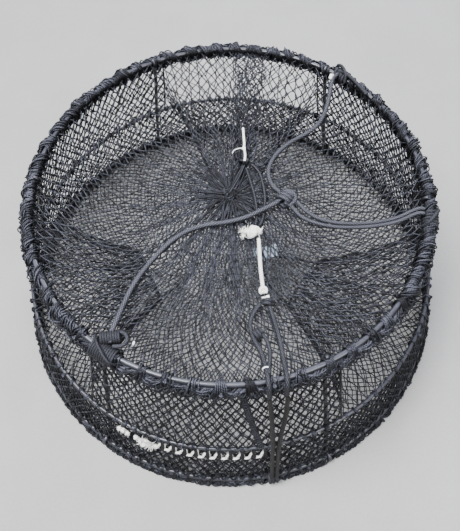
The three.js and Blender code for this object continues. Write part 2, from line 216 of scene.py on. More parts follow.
STRUT_WIRE = 3.25 * MM
STRUT_FIT = 0.9 * MM  # clearance between a strut's eye or hook and its hoop
STRUT_BOW = 1.2 * MM  # how far a strut is bent out of true
TWINE = 1.05 * MM  # radius of the twine of the top net and the tunnels; the rest below are radii too
WALL_TWINE = 1.3 * MM
LACING = 1.1 * MM  # the twine that lashes the netting to the hoops
BRIDLE = 3.4 * MM
BRIDLE_DOUBLED = 2.7 * MM
CLOSURE = 2.2 * MM
COTTON = 2.6 * MM
TIE_DOWN = 3.2 * MM
TUNNEL_TIE = 1.8 * MM
ROT_CORD = 1.8 * MM
ROPE_END = np.array([0.55, 0.85, 0.97])  # how a rope's end is rounded, as shares of its radius
PLAITS = 6
BRAID_CELL = 2.6 * MM  # length of one plait's crossing along a rope

# The bunched edge of the netting beside a hoop: how far outside it and below it, and how thick.
TOP_HEM = {"out": 5 * MM, "down": 8.5 * MM, "radius": 7.2 * MM}
BOTTOM_HEM = {"out": 5 * MM, "down": BOTTOM.z - 5 * MM, "radius": 5 * MM}
GATHER = {"x": 4 * MM, "y": 2 * MM, "z": TOP.z - 19 * MM, "radius": 11 * MM}
PURSE = {"sag": 19 * MM, "pleats": 24, "pull": math.radians(262)}  # its meshes are drawn toward `pull`
SEAM = {"low": 276, "high": 271.4}  # degrees, at the mid hoop and at the top hoop
TIE_FOOT = 278.9  # degrees, where the tie-down line is knotted to the bottom hoop


# ---------------------------------------------------------------- routes of the ropes

ROUTES = {  # in millimetres here, and made metres just below
    "bridle_leg_1": [
        (-161, -244.5, 321), (-160, -230, 321), (-154, -208, 317), (-146, -180, 311), (-137, -156, 308),
        (-124, -132, 306), (-104, -104, 304), (-84, -82, 302.5), (-60, -65, 301), (-34, -56, 300),
        (-4, -52, 299.5), (24, -46, 301), (48, -36, 303), (69, -26, 305),
    ],
    "bridle_leg_2": [
        (78, -3, 305), (70, 8, 303), (65, 26, 302), (67, 47, 301.5), (79, 69, 302.3), (95, 85, 303.6),
        (115, 98.5, 304.8), (135, 110, 306.2), (152, 125, 308), (164, 146, 310.5), (172, 169, 313.5),
        (178, 193, 318.5), (183, 209, 321), (192.5, 221, 321),
    ],
    "bridle_leg_3a": [
        (103, -22, 305), (116, -39, 304), (133, -53.8, 305), (156, -62.8, 306), (182, -66.8, 307.5),
        (214, -67, 309), (245, -63, 312), (268, -55.7, 318), (280, -53, 321), (288.3, -54.5, 321),
    ],
    "bridle_leg_3b": [
        (96, -32, 304.5), (108, -48, 303), (127, -60.4, 304), (152, -69.2, 305.5), (180, -73, 307),
        (213, -73.2, 309), (245, -69.4, 312), (268, -62.6, 318), (278, -60.8, 321), (286.6, -62.2, 321),
    ],
    "closure_cord_a": [
        (30, 49, 299), (33, 36, 298.5), (37, 18, 298), (41, -4, 297.5), (43, -24, 296.8), (43, -40, 296.4),
        (41, -52, 297), (39, -60, 298.5),
    ],
    "closure_cord_b": [
        (38, 54, 300), (45, 48, 299), (52, 34, 298.5), (56, 10, 298), (57, -10, 297.5), (55, -28, 296.8),
        (52, -44, 296.6), (49, -53, 297.2), (46, -59.5, 298.5),
    ],
    "cotton_cord": [
        (43, -85, 306), (43, -110, 304), (43, -133, 304.5), (44, -155, 305), (45, -174, 306),
    ],
    "cable_tie_long": [
        (9, 69, 303), (17, 75, 306), (26, 78, 308), (29, 86, 309), (29, 102, 310), (28.5, 119, 312),
    ],
    "tie_down_top_a": [
        (40, -189, 307), (30, -203, 308), (24, -220, 308), (28, -241, 309), (37, -262, 311),
        (41, -283, 315), (42.5, -296, 319), (43.2, -306, 318), (43.8, -311.4, 313), (44.2, -313, 306),
        (44.5, -314.6, 299),
    ],
    "tie_down_top_b": [
        (51, -190, 307), (56, -212, 308), (61, -236, 309), (64, -262, 312), (65.6, -281, 315),
        (66.5, -292, 319), (67, -301, 318), (67, -306.9, 313), (66.8, -308.9, 306), (66.6, -310.9, 299),
    ],
    "tie_down_wall_a": [
        (45, -319, 290), (49, -331, 245), (52, -343, 198), (54, -354, 152), (55, -364, 106), (56, -376, 62),
        (56, -385, 38),
    ],
    "tie_down_wall_b": [
        (69, -315.2, 290), (69, -327.4, 245), (65.5, -340.8, 198), (63.5, -352.5, 152), (63.5, -363.1, 106),
        (64, -375, 62), (64.5, -384, 38),
    ],
}
ROUTES = {name: np.array(points) * MM for name, points in ROUTES.items()}


# ---------------------------------------------------------------- mesh tools


def mm(*points):
    """Points written in millimetres, in metres."""
    return np.array(points) * MM


def seeded(name):
    """A random source of its own for each piece, so that no piece changes another."""
    return np.random.default_rng(list(name.encode()))


def draws(rng, low, high, count):
    """A column of random numbers, one for each of many tubes."""
    return rng.uniform(low, high, (count, 1))


def unit(vectors):
    return vectors / np.maximum(np.linalg.norm(vectors, axis=-1, keepdims=True), 1e-12)


def polar(radius, angle, z):
    radius, angle, z = np.broadcast_arrays(radius, angle, z)
    return np.stack([radius * np.cos(angle), radius * np.sin(angle), z], axis=-1).astype(float)


def round_ring(ring, distance, around, angle, out=0.0, up=0.0):
    """A point beside a hoop's rod: `around` goes round a line that is `out` and `up` from the rod's middle.

    It is 0 outward and a quarter turn up.
    """
    radius = ring.radius + out + distance * np.cos(around)
    return polar(radius, angle, ring.z + up + distance * np.sin(around))


def smooth_route(points, step):
    """The points joined by one smooth curve, stepped evenly."""
    p = np.asarray(points, float)
    p = np.concatenate([[2 * p[0] - p[1]], p, [2 * p[-1] - p[-2]]])
    t = np.linspace(0, 1, 24, endpoint=False)[:, None]
    spans = []
    for a, b, c, d in zip(p[:-3], p[1:-2], p[2:-1], p[3:]):
        curve = 2 * b + (c - a) * t + (2 * a - 5 * b + 4 * c - d) * t**2 + (3 * b - a - 3 * c + d) * t**3
        spans.append(0.5 * curve)
    fine = np.concatenate([*spans, p[-2:-1]])
    along = np.concatenate([[0], np.cumsum(np.linalg.norm(np.diff(fine, axis=0), axis=1))])
    steps = max(2, int(round(along[-1] / step)))
    places = np.linspace(0, along[-1], steps + 1)
    return np.stack([np.interp(places, along, fine[:, k]) for k in range(3)], axis=1)


def route_length(points):
    return float(np.linalg.norm(np.diff(np.asarray(points), axis=0), axis=1).sum())


class Surface:
    """Collects tubes and patches, and makes one mesh object of them."""

    def __init__(self):
        self.points = []
        self.tints = []
        self.faces = []
        self.uvs = []
        self.count = 0

    def add(self, points, tints, faces, uvs):
        """points (n, 3), a tint for each, and matching lists of faces (f, k) and uvs (f, k, 2)."""
        self.points.append(points)
        self.tints.append(tints)
        for face, uv in zip(faces, uvs):
            self.faces.append(face + self.count)
            self.uvs.append(uv)
        self.count += len(points)

    def strand(self, points, radius, sides, relief=None, step=1 * MM, **more):
        """One tube along a smooth curve through the points."""
        self.tubes(smooth_route(points, step), radius, sides, relief=relief, **more)

    def tubes(self, paths, radius, sides, tint=0.5, closed=False, toward=None, relief=None, flat=1.0):
        """Round tubes along paths (many, steps, 3) or one path (steps, 3), closed at both ends.

        `toward` is the direction that the section's first corner faces. `relief(u, s)` is added to the
        radius at the turn u, from 0 to 1, and the distance s along. `flat` scales it across `toward`.
        """
        paths = np.asarray(paths, float)
        if paths.ndim == 2:
            paths = paths[None]
        many, steps = paths.shape[:2]
        if closed:
            ahead = np.roll(paths, -1, axis=1)
            tangents = unit(ahead - np.roll(paths, 1, axis=1))
            gaps = np.linalg.norm(ahead - paths, axis=2)
        else:
            tangents = unit(np.gradient(paths, axis=1))
            gaps = np.linalg.norm(np.diff(paths, axis=1), axis=2)
        along = np.concatenate([np.zeros((many, 1)), np.cumsum(gaps, axis=1)], axis=1)
        side = self.sides_of(tangents, toward)
        up = np.cross(tangents, side)
        turn = np.arange(sides) / sides
        reach = np.broadcast_to(np.asarray(radius, float), (many, steps))[:, :, None] * np.ones(sides)
        if relief is not None:
            reach = reach + relief(turn, along[:, :steps, None])
        cos, sin = np.cos(TAU * turn), np.sin(TAU * turn) * flat
        offset = cos[:, None] * side[:, :, None, :] + sin[:, None] * up[:, :, None, :]
        points = paths[:, :, None, :] + reach[..., None] * offset
        tints = np.broadcast_to(np.asarray(tint, float).reshape(-1, 1, 1), (many, steps, sides))

        rows = steps if closed else steps - 1
        m, j, i = np.meshgrid(np.arange(many), np.arange(rows), np.arange(sides), indexing="ij")
        after, beside = (j + 1) % steps, (i + 1) % sides
        corners = [(j, i), (j, beside), (after, beside), (after, i)]
        ids = [(m * steps + row) * sides + column for row, column in corners]
        faces = [np.stack(ids, axis=-1).reshape(-1, 4)]
        u0, u1 = i / sides, (i + 1) / sides
        v0, v1 = along[m, j], along[m, j + 1]
        corner_uvs = [np.stack(c, axis=-1) for c in [(u0, v0), (u1, v0), (u1, v1), (u0, v1)]]
        uvs = [np.stack(corner_uvs, axis=-2).reshape(-1, 4, 2)]
        if not closed:
            start = np.arange(many)[:, None] * steps * sides
            ring = np.arange(sides)
            far_end = start + (steps - 1) * sides
            for cap, length in [(start + ring[::-1], 0 * along[:, 0]), (far_end + ring, along[:, -1])]:
                faces.append(cap)
                cap_u = np.broadcast_to(ring / sides, cap.shape)
                uvs.append(np.stack([cap_u, np.broadcast_to(length[:, None], cap.shape)], axis=-1))
        self.add(points.reshape(-1, 3), tints.reshape(-1), faces, uvs)

    @staticmethod
    def sides_of(tangents, toward):
        """Directions across the tangents that follow `toward`, or that turn as little as they can."""
        if toward is not None:
            toward = np.broadcast_to(np.asarray(toward, float), tangents.shape)
            return unit(toward - tangents * np.sum(tangents * toward, axis=-1, keepdims=True))
        first = tangents[:, 0]
        helper = np.where(np.abs(first[:, 2:3]) < 0.8, [[0.0, 0.0, 1.0]], [[1.0, 0.0, 0.0]])
        side = unit(np.cross(first, helper))
        found = [side]
        for step in range(1, tangents.shape[1]):
            t = tangents[:, step]
            side = unit(side - t * np.sum(side * t, axis=1, keepdims=True))
            found.append(side)
        return np.stack(found, axis=1)

    def patch(self, points, thickness):
        """A sheet about points (rows, columns, 3), with its faces `thickness` apart and closed edges."""
        rows, columns = points.shape[:2]
        across = np.gradient(points, axis=1)
        down = np.gradient(points, axis=0)
        normal = unit(np.cross(across, down))
        layers = [points + normal * thickness / 2, points - normal * thickness / 2]
        count = rows * columns
        j, i = np.meshgrid(np.arange(rows - 1), np.arange(columns - 1), indexing="ij")
        a, b = j * columns + i, j * columns + i + 1
        c, d = b + columns, a + columns
        front = np.stack([a, b, c, d], axis=-1).reshape(-1, 4)
        back = front[:, ::-1] + count
        rim = [
            *[(k + 1, k) for k in range(columns - 1)],
            *[(columns * (rows - 1) + k, columns * (rows - 1) + k + 1) for k in range(columns - 1)],
            *[(columns * k, columns * (k + 1)) for k in range(rows - 1)],
            *[(columns * (k + 2) - 1, columns * (k + 1) - 1) for k in range(rows - 1)],
        ]
        edge = np.array([(p, q, q + count, p + count) for p, q in rim])
        faces = [front, back, edge]
        flat_uv = np.stack(np.meshgrid(np.linspace(0, 1, columns), np.linspace(0, 1, rows)), axis=-1)
        flat_uv = np.concatenate([flat_uv.reshape(-1, 2)] * 2)
        everything = np.concatenate([layer.reshape(-1, 3) for layer in layers])
        self.add(everything, np.full(len(everything), 0.5), faces, [flat_uv[f] for f in faces])

    def build(self, name, material):
        mesh = bpy.data.meshes.new(name)
        points = np.concatenate(self.points)
        loops = np.concatenate([f.ravel() for f in self.faces])
        totals = np.concatenate([np.full(len(f), f.shape[1]) for f in self.faces])
        uvs = np.concatenate([uv.reshape(-1, 2) for uv in self.uvs])
        mesh.vertices.add(len(points))
        mesh.vertices.foreach_set("co", points.astype(np.float32).ravel())
        mesh.loops.add(len(loops))
        mesh.loops.foreach_set("vertex_index", loops.astype(np.int32))
        mesh.polygons.add(len(totals))
        starts = np.concatenate([[0], np.cumsum(totals)[:-1]])
        mesh.polygons.foreach_set("loop_start", starts.astype(np.int32))
        layer = mesh.uv_layers.new(name="UVMap")
        layer.data.foreach_set("uv", uvs.astype(np.float32).ravel())
        tint = mesh.attributes.new("tint", "FLOAT", "POINT")
        tint.data.foreach_set("value", np.concatenate(self.tints).astype(np.float32))
        mesh.update(calc_edges=True)
        mesh.validate()
        mesh.shade_smooth()
        mesh.materials.append(material)
        piece = bpy.data.objects.new(name, mesh)
        bpy.context.scene.collection.objects.link(piece)
        return piece


def put(surface, name, material, body, *nodes, folds=False):
    """Makes a piece, which rides on its body in place of those CAD nodes, and flattens if it `folds`."""
    piece = surface.build(name, material)
    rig.ride(piece, body)
    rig.slot(piece, SLOTS[material.name])
    if nodes:
        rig.replaces(piece, *nodes)
    if folds:
        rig.squash(piece, FOLD["joint"], axis=FOLD["axis"], anchor=FOLD["anchor"], keep=FOLD["keep"])
    return piece


# ---------------------------------------------------------------- materials


class Finish:
    """A material of one Principled shader, whose patterns are made of nodes."""

    def __init__(self, name, **sockets):
        self.material = bpy.data.materials.new(name)
        self.material.use_nodes = True
        self.tree = self.material.node_tree
        self.shader = self.tree.nodes["Principled BSDF"]
        for socket, value in sockets.items():
            self.shader.inputs[socket.replace("_", " ")].default_value = value

    def node(self, kind, **settings):
        made = self.tree.nodes.new("ShaderNode" + kind)
        for key, value in settings.items():
            setattr(made, key, value)
        return made

    def link(self, source, target):
        if isinstance(source, (int, float)):
            target.default_value = source
        else:
            self.tree.links.new(source, target)

    def math(self, operation, a, b=0.0, clamp=False):
        made = self.node("Math", operation=operation, use_clamp=clamp)
        self.link(a, made.inputs[0])
        self.link(b, made.inputs[1])
        return made.outputs[0]

    def place(self, stretch=(1, 1, 1)):
        """The piece's own coordinates in metres, times `stretch`."""
        coordinates = self.node("TexCoord")
        mapping = self.node("Mapping")
        mapping.inputs["Scale"].default_value = stretch
        self.link(coordinates.outputs["Object"], mapping.inputs["Vector"])
        return mapping.outputs[0]

    def noise(self, scale, detail=3.0, roughness=0.6, at=None):
        made = self.node("TexNoise")
        made.inputs["Scale"].default_value = scale
        made.inputs["Detail"].default_value = detail
        made.inputs["Roughness"].default_value = roughness
        self.link(at or self.place(), made.inputs["Vector"])
        return made.outputs[0]

    def uv(self):
        layer = self.node("UVMap", uv_map="UVMap")
        parts = self.node("SeparateXYZ")
        self.link(layer.outputs[0], parts.inputs[0])
        return parts.outputs[0], parts.outputs[1]

    def tint(self):
        return self.node("Attribute", attribute_name="tint").outputs["Fac"]

    def facing_up(self):
        """0 on what faces down or sideways, and 1 on what faces up."""
        parts = self.node("SeparateXYZ")
        self.link(self.node("NewGeometry").outputs["Normal"], parts.inputs[0])
        return self.math("MAXIMUM", parts.outputs[2], 0.0)

    def stripes(self, around, pitch):
        """A wave, 0 to 1, that winds round a tube `around` times in `pitch` metres."""
        u, v = self.uv()
        phase = self.math("ADD", self.math("MULTIPLY", u, float(around)), self.math("MULTIPLY", v, 1 / pitch))
        wave = self.math("SINE", self.math("MULTIPLY", phase, TAU))
        return self.math("MULTIPLY", self.math("ADD", wave, 1.0), 0.5)

    def ramp(self, factor, *stops):
        made = self.node("ValToRGB")
        elements = made.color_ramp.elements
        while len(elements) < len(stops):
            elements.new(0.5)
        for element, (position, colour) in zip(elements, stops):
            element.position = position
            element.color = (*colour, 1)
        self.link(factor, made.inputs[0])
        return made.outputs[0]

    def colour(self, source):
        self.link(source, self.shader.inputs["Base Color"])

    def spread(self, factor, low, high):
        """The factor, 0 to 1, moved to low to high."""
        return self.math("ADD", self.math("MULTIPLY", factor, high - low), low)

    def roughness(self, factor, low, high):
        self.link(self.spread(factor, low, high), self.shader.inputs["Roughness"])

    def bump(self, height, distance):
        made = self.node("Bump")
        made.inputs["Distance"].default_value = distance
        made.inputs["Strength"].default_value = 1.0
        self.link(height, made.inputs["Height"])
        self.link(made.outputs[0], self.shader.inputs["Normal"])


def mix(finish, a, b, share):
    """share of b in a, as numbers."""
    return finish.math("ADD", finish.math("MULTIPLY", a, 1 - share), finish.math("MULTIPLY", b, share))


def vinyl_finish():
    made = Finish("black_vinyl", Specular_IOR_Level=0.5, Coat_Weight=0.3, Coat_Roughness=0.25)
    patches = made.noise(28, 4)
    scuffs = made.noise(160, 5, 0.75, made.place((1, 1, 0.35)))
    # The up-facing rod is painted lighter lavender: partly dust and fading, partly a painted highlight that stands in
    # for the sky's reflection.
    dust_and_highlight = made.math("MULTIPLY", made.facing_up(), made.spread(patches, 0.5, 1.1))
    tone = made.math("ADD", made.math("MULTIPLY", scuffs, 0.3), made.math("MULTIPLY", dust_and_highlight, 0.8), clamp=True)
    made.colour(made.ramp(
        tone, (0.2, (0.001, 0.001, 0.0015)), (0.5, (0.009, 0.0095, 0.013)), (0.85, (0.06, 0.063, 0.085))
    ))
    made.roughness(scuffs, 0.28, 0.5)
    made.bump(mix(made, patches, scuffs, 0.6), 0.3 * MM)
    return made.material


def twine_finish(name, dark, light, pitch):
    """Twisted twine, its lay painted lighter on the ridges and darker in the grooves, and painted pale on top and near
    black below as painted light and shade, varied by random weathering.
    """
    made = Finish(name, Sheen_Weight=0.01, Sheen_Roughness=0.4, Specular_IOR_Level=0.25)
    lay = made.stripes(2, pitch)
    fuzz = made.noise(1800, 2)
    weather = mix(made, made.noise(22, 4, 0.65), made.tint(), 0.6)
    # Painted light and shade: each strand is painted paler on top and near black underneath, times random weathering;
    # the lay stripes add painted shade in the twist's grooves.
    painted_light_and_weather = made.math("MULTIPLY", made.spread(made.facing_up(), 0.05, 1.0), made.spread(weather, 0.35, 1.35))
    tone = made.math("MULTIPLY", painted_light_and_weather, made.spread(mix(made, fuzz, lay, 0.6), 0.5, 1.15))
    middle = tuple(d + 0.2 * (l - d) for d, l in zip(dark, light))
    made.colour(made.ramp(tone, (0.25, dark), (0.5, middle), (0.9, light)))
    made.roughness(fuzz, 0.45, 0.75)
    made.bump(mix(made, lay, fuzz, 0.35), 0.5 * MM)
    return made.material


def braid_finish(name, dark, light):
    """Braided rope with fine yarns: painted shade between its plaits, and painted light that makes it paler on top and
    darker below, varied by random weathering.
    """
    made = Finish(name, Sheen_Weight=0.03, Sheen_Roughness=0.4, Specular_IOR_Level=0.25)
    pitch = 2 * BRAID_CELL
    # The crossing pattern of the plaits darkens the tone between them: painted shade in the braid's recesses.
    ways = made.math("MULTIPLY", made.stripes(PLAITS, pitch), made.stripes(-PLAITS, pitch))
    weather = made.noise(30, 4, 0.6)
    fuzz = made.noise(1500, 2)
    # Painted light: the rope is painted paler on top and darker below, times random weathering.
    painted_light_and_weather = made.math("MULTIPLY", made.spread(made.facing_up(), 0.2, 1.0), made.spread(weather, 0.6, 1.2))
    tone = made.math("MULTIPLY", painted_light_and_weather, made.spread(mix(made, fuzz, ways, 0.75), 0.25, 1.75))
    middle = tuple(d + 0.3 * (l - d) for d, l in zip(dark, light))
    made.colour(made.ramp(tone, (0.15, dark), (0.45, middle), (0.95, light)))
    made.roughness(fuzz, 0.5, 0.8)
    made.bump(mix(made, ways, fuzz, 0.3), 0.6 * MM)
    return made.material


def cotton_finish():
    made = Finish("white_cotton", Sheen_Weight=0.3, Sheen_Roughness=0.6, Subsurface_Weight=0.08)
    made.shader.inputs["Subsurface Radius"].default_value = (1.5 * MM, 1.3 * MM, 1.1 * MM)
    lay = made.stripes(3, 5 * MM)
    dirt = made.noise(60, 4, 0.7)
    fuzz = made.noise(1600, 3)
    tone = mix(made, mix(made, dirt, lay, 0.4), fuzz, 0.3)
    made.colour(made.ramp(
        tone, (0.2, (0.62, 0.59, 0.53)), (0.4, (0.88, 0.87, 0.83)), (0.65, (0.97, 0.97, 0.95))
    ))
    made.roughness(fuzz, 0.8, 1.0)
    made.bump(mix(made, lay, fuzz, 0.6), 0.4 * MM)
    return made.material


def nylon_finish():
    made = Finish("white_nylon", Coat_Weight=0.1, Coat_Roughness=0.3, Subsurface_Weight=0.1)
    made.shader.inputs["Subsurface Radius"].default_value = (1.2 * MM, 1.2 * MM, 1.2 * MM)
    smudge = made.noise(90, 4)
    grain = made.noise(900, 3)
    made.colour(made.ramp(smudge, (0.25, (0.84, 0.83, 0.80)), (0.5, (0.97, 0.97, 0.96))))
    made.roughness(smudge, 0.3, 0.5)
    made.bump(grain, 0.08 * MM)
    return made.material


def film_finish():
    made = Finish("blank_film", Coat_Weight=0.3, Coat_Roughness=0.2)
    wear = made.noise(70, 4)
    crease = made.noise(320, 4, 0.7)
    made.colour(made.ramp(
        mix(made, wear, crease, 0.4), (0.3, (0.05, 0.075, 0.11)), (0.6, (0.24, 0.30, 0.36))
    ))
    made.roughness(wear, 0.3, 0.55)
    made.bump(crease, 0.15 * MM)
    return made.material


VINYL = vinyl_finish()
# In each twine and rope finish below, the light colour is the painted highlight on the top of a strand.
NETTING = twine_finish("netting_twine", (0.001, 0.001, 0.0015), (0.085, 0.09, 0.118), 3.2 * MM)
FINE_NETTING = twine_finish("fine_netting", (0.002, 0.002, 0.003), (0.15, 0.157, 0.195), 3.2 * MM)
LASHING = twine_finish("lashing_twine", (0.001, 0.001, 0.0015), (0.10, 0.105, 0.14), 3.8 * MM)
CORD = twine_finish("thin_cord", (0.002, 0.002, 0.003), (0.052, 0.055, 0.072), 4.5 * MM)
BRIDLE_ROPE = braid_finish("bridle_rope", (0.003, 0.003, 0.0045), (0.115, 0.12, 0.152))
DARK_ROPE = braid_finish("tie_down_rope", (0.002, 0.002, 0.003), (0.062, 0.065, 0.084))
WALL_ROPE = braid_finish("weathered_rope", (0.001, 0.001, 0.001), (0.026, 0.0245, 0.022))
WHITE_COTTON = cotton_finish()
NYLON = nylon_finish()
FILM = film_finish()

SLOTS = {
    material.name: slot
    for slot, materials in {
        "black_vinyl": [VINYL],
        "netting": [NETTING, FINE_NETTING, LASHING],
        "black_rope": [CORD, BRIDLE_ROPE, DARK_ROPE, WALL_ROPE],
        "white_cotton": [WHITE_COTTON],
        "white_plastic": [NYLON],
        "tag": [FILM],
    }.items()
    for material in materials
}


# ---------------------------------------------------------------- camera, floor and light


# The photo's hand-held view, from the front and above. It was fitted to the three hoops and six struts.
CAMERA = {
    "place": (-0.001, -1.646, 3.3252),  # in top-hoop radii, from the bottom hoop's centre
    "pitch": 1.093,  # radians down from level
    "roll": -0.035,
    "lens": 38.1,
    "sensor": 36,
}
LIGHTS = [  # name, place and size in metres, watts, colour
    ("key", (-0.8, -0.2, 2.6), 1.3, 165, (1, 1, 1)),
    ("fill", (1.2, -1.6, 1.9), 1.5, 58, (0.96, 0.97, 1)),
    ("rim", (0.6, 2.0, 1.6), 1.0, 46, (0.9, 0.93, 1)),
]
SKY = {"colour": (0.93, 0.95, 1, 1), "strength": 0.3}


def camera():
    pitch, roll = CAMERA["pitch"], CAMERA["roll"]
    place_at = Vector(CAMERA["place"]) * TOP.radius + Vector((0, 0, BOTTOM.z))
    forward = Vector((0, math.cos(pitch), -math.sin(pitch)))
    up0 = Vector((0, math.sin(pitch), math.cos(pitch)))
    right = math.cos(roll) * Vector((1, 0, 0)) + math.sin(roll) * up0
    up = -math.sin(roll) * Vector((1, 0, 0)) + math.cos(roll) * up0
    data = bpy.data.cameras.new("camera")
    data.sensor_width = CAMERA["sensor"]
    data.lens = CAMERA["lens"]
    made = bpy.data.objects.new("camera", data)
    turn = Matrix((right, up, -forward)).transposed().to_4x4()
    made.matrix_world = Matrix.Translation(place_at) @ turn
    bpy.context.scene.collection.objects.link(made)
    bpy.context.scene.camera = made


def floor():
    """A plain floor 8 m across, half a millimetre below the ground that the trap stands on."""
    surface = Surface()
    span = np.linspace(-4, 4, 5)
    x, y = np.meshgrid(span, span)
    surface.patch(np.stack([x, y, np.full_like(x, -1.5 * MM)], axis=-1), thickness=2 * MM)
    made = Finish("pale_floor", Roughness=0.9)
    grain = mix(made, made.noise(6, 5), made.noise(260, 4), 0.5)
    made.colour(made.ramp(grain, (0.3, (0.375, 0.375, 0.375)), (0.7, (0.46, 0.46, 0.46))))
    made.bump(grain, 0.4 * MM)
    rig.stage(surface.build("floor", made.material))


def softbox(name, position, size, energy, colour):
    """A round area light that faces the trap's foot."""
    data = bpy.data.lights.new(name, "AREA")
    data.shape = "DISK"
    data.size = size
    data.energy = energy
    data.color = colour
    made = bpy.data.objects.new(name, data)
    made.location = position
    made.rotation_euler = (-Vector(position)).to_track_quat("-Z", "Y").to_euler()
    bpy.context.scene.collection.objects.link(made)


def lights():
    world = bpy.data.worlds.new("studio")
    world.use_nodes = True
    background = world.node_tree.nodes["Background"]
    background.inputs["Color"].default_value = SKY["colour"]
    background.inputs["Strength"].default_value = SKY["strength"]
    bpy.context.scene.world = world
    for light in LIGHTS:
        softbox(*light)


# ---------------------------------------------------------------- hoops and struts


def hoop(name, node, ring, body):
    rng = seeded(name)
    angle = np.linspace(0, TAU, 360, endpoint=False)
    wander = sum(
        rng.uniform(0.1, 0.35) * MM * np.cos(k * angle + rng.uniform(0, TAU)) / k**0.5 for k in range(2, 7)
    )
    surface = Surface()
    surface.tubes(polar(ring.radius + wander, angle, ring.z), ring.rod, sides=16, closed=True, toward=UP)
    put(surface, name, VINYL, body, node)


def strut(index, angle):
    """Up from an eye round the bottom hoop to an open hook inside the top hoop."""
    apart = STRUT_FIT + STRUT_WIRE
    eye_path = round_ring(BOTTOM, BOTTOM.rod + apart, np.radians(np.linspace(480, 195, 34)), angle)
    hook_path = round_ring(TOP, TOP.rod + apart, np.radians(np.linspace(240, 105, 16)), angle)
    t = np.linspace(0.02, 0.985, 30)[:, None]
    middle = eye_path[-1] * (1 - t) + hook_path[0] * t
    sideways = np.array([-math.sin(angle), math.cos(angle), 0])
    middle += sideways * np.sin(t * math.pi * 1.5) * STRUT_BOW
    surface = Surface()
    surface.tubes(np.concatenate([eye_path, middle, hook_path]), STRUT_WIRE, sides=12)
    name = f"strut_{index + 1}"
    put(surface, f"strut_wire_{index + 1}", VINYL, name, name)


# ---------------------------------------------------------------- netting


def net(
    surface, at, columns, rows, closed, rng,
    radius=TWINE, loose=0.06, bow=1.0 * MM, knots=True, fine=False,
):
    """Knotted diamonds over at(u, v), where u and v go from 0 to 1.

    There are `columns` diamonds across, and `rows` half ones down. `fine` twine is straight and has no knots.
    """
    across = columns if closed else columns + 1
    row = np.arange(rows + 1)[:, None]
    odd = row % 2
    column = np.arange(across)[None]
    shift_u = rng.normal(0, loose, (rows + 1, across)) / columns
    shift_v = rng.normal(0, loose * 0.7, (rows + 1, across)) / rows
    shift_v[[0, -1]] = 0
    shift_u[[0, -1]] = 0
    if not closed:
        shift_u[:, [0, -1]] = 0

    def parameters(j, i):
        wrapped = i % across if closed else i
        return (i + 0.5 * (j % 2)) / columns + shift_u[j, wrapped], j / rows + shift_v[j, wrapped]

    starts, ends = [], []
    last = np.where(odd, across - 2, across - 1)
    for step in (0, 1):
        j, i = np.broadcast_arrays(row[:-1], column)
        target = i + step - (1 - odd[:-1])
        ok = np.ones(i.shape, bool)
        if not closed:
            ok = (i <= last[:-1]) & (target >= 0) & (target <= last[1:])
        starts.append(np.stack([j[ok], i[ok]]))
        ends.append(np.stack([j[ok] + 1, target[ok]]))
    ua, va = parameters(*np.concatenate(starts, axis=1))
    ub, vb = parameters(*np.concatenate(ends, axis=1))
    stops = (0, 1) if fine else (0, 0.3, 0.7, 1)
    paths = np.stack([at(ua * (1 - t) + ub * t, va * (1 - t) + vb * t) for t in stops], axis=1)
    if not fine:
        paths[:, 1:3] += rng.normal(0, bow / 2, (len(paths), 1, 3))
    shape = {"sides": 3, "toward": UP} if fine else {"sides": 4}
    surface.tubes(paths, radius, tint=rng.random(len(paths)), **shape)
    if fine or not knots:
        return
    j, i = np.broadcast_arrays(row[1:-1], column)
    if not closed:
        inside = i <= last[1:-1]
        j, i = j[inside], i[inside]
    u, v = parameters(j.ravel(), i.ravel())
    net_knots(surface, at, u, v, columns, rows, radius, rng)


def net_knots(surface, at, u, v, columns, rows, radius, rng):
    """A small hitch of twine at each crossing."""
    centre = at(u, v)
    step = 0.2
    high, low = np.minimum(v + step / rows, 1), np.maximum(v - step / rows, 0)
    down = unit(at(u, high) - at(u, low))
    over = unit(at(u + step / columns, v) - at(u - step / columns, v))
    out = unit(np.cross(over, down))
    t = np.linspace(0, 1, 6)[None, :, None]
    turn = rng.uniform(0, TAU, (len(centre), 1, 1)) + TAU * 1.1 * t
    size = radius * rng.uniform(1.05, 1.45, (len(centre), 1, 1))
    paths = centre[:, None] + size * (over[:, None] * np.cos(turn) * 1.15 + out[:, None] * np.sin(turn))
    paths = paths + down[:, None] * (t - 0.5) * radius * 2.4
    surface.tubes(paths, radius * 0.92, sides=4, tint=rng.random(len(centre)))


def wall(low, high, start, end):
    """The wall between two hoops, as at(u, v), from `start` to `end` in radians. It hangs in a little."""

    def at(u, v):
        angle = start + (end - start) * u
        hang = np.sin(np.pi * v) * 2.5 * MM * (1 + np.sin(3 * angle + 1))
        return polar(low[0] + (high[0] - low[0]) * v - hang, angle, low[1] + (high[1] - low[1]) * v)

    return at


def lower_net():
    """Two layers of meshes: below the mid hoop the wall is double."""
    layers = [  # distance inside the hoops, diamonds, half rows, looseness, and the twine's radius
        (0, 150, 9, 0.06, WALL_TWINE),
        (4.5 * MM, 138, 8, 0.16, 0.72 * WALL_TWINE),
    ]
    surface = Surface()
    rng = seeded("lower")
    for inset, columns, rows, loose, radius in layers:
        low = (BOTTOM.radius + 2 * MM - inset, BOTTOM.z + BOTTOM.rod)
        high = (MID.radius - 0.5 * inset, MID.z - MID.rod)
        net(surface, wall(low, high, 0, TAU), columns, rows, True, rng, radius=radius, loose=loose)
    put(surface, "lower_netting", NETTING, "base", "lower_side_net", folds=True)


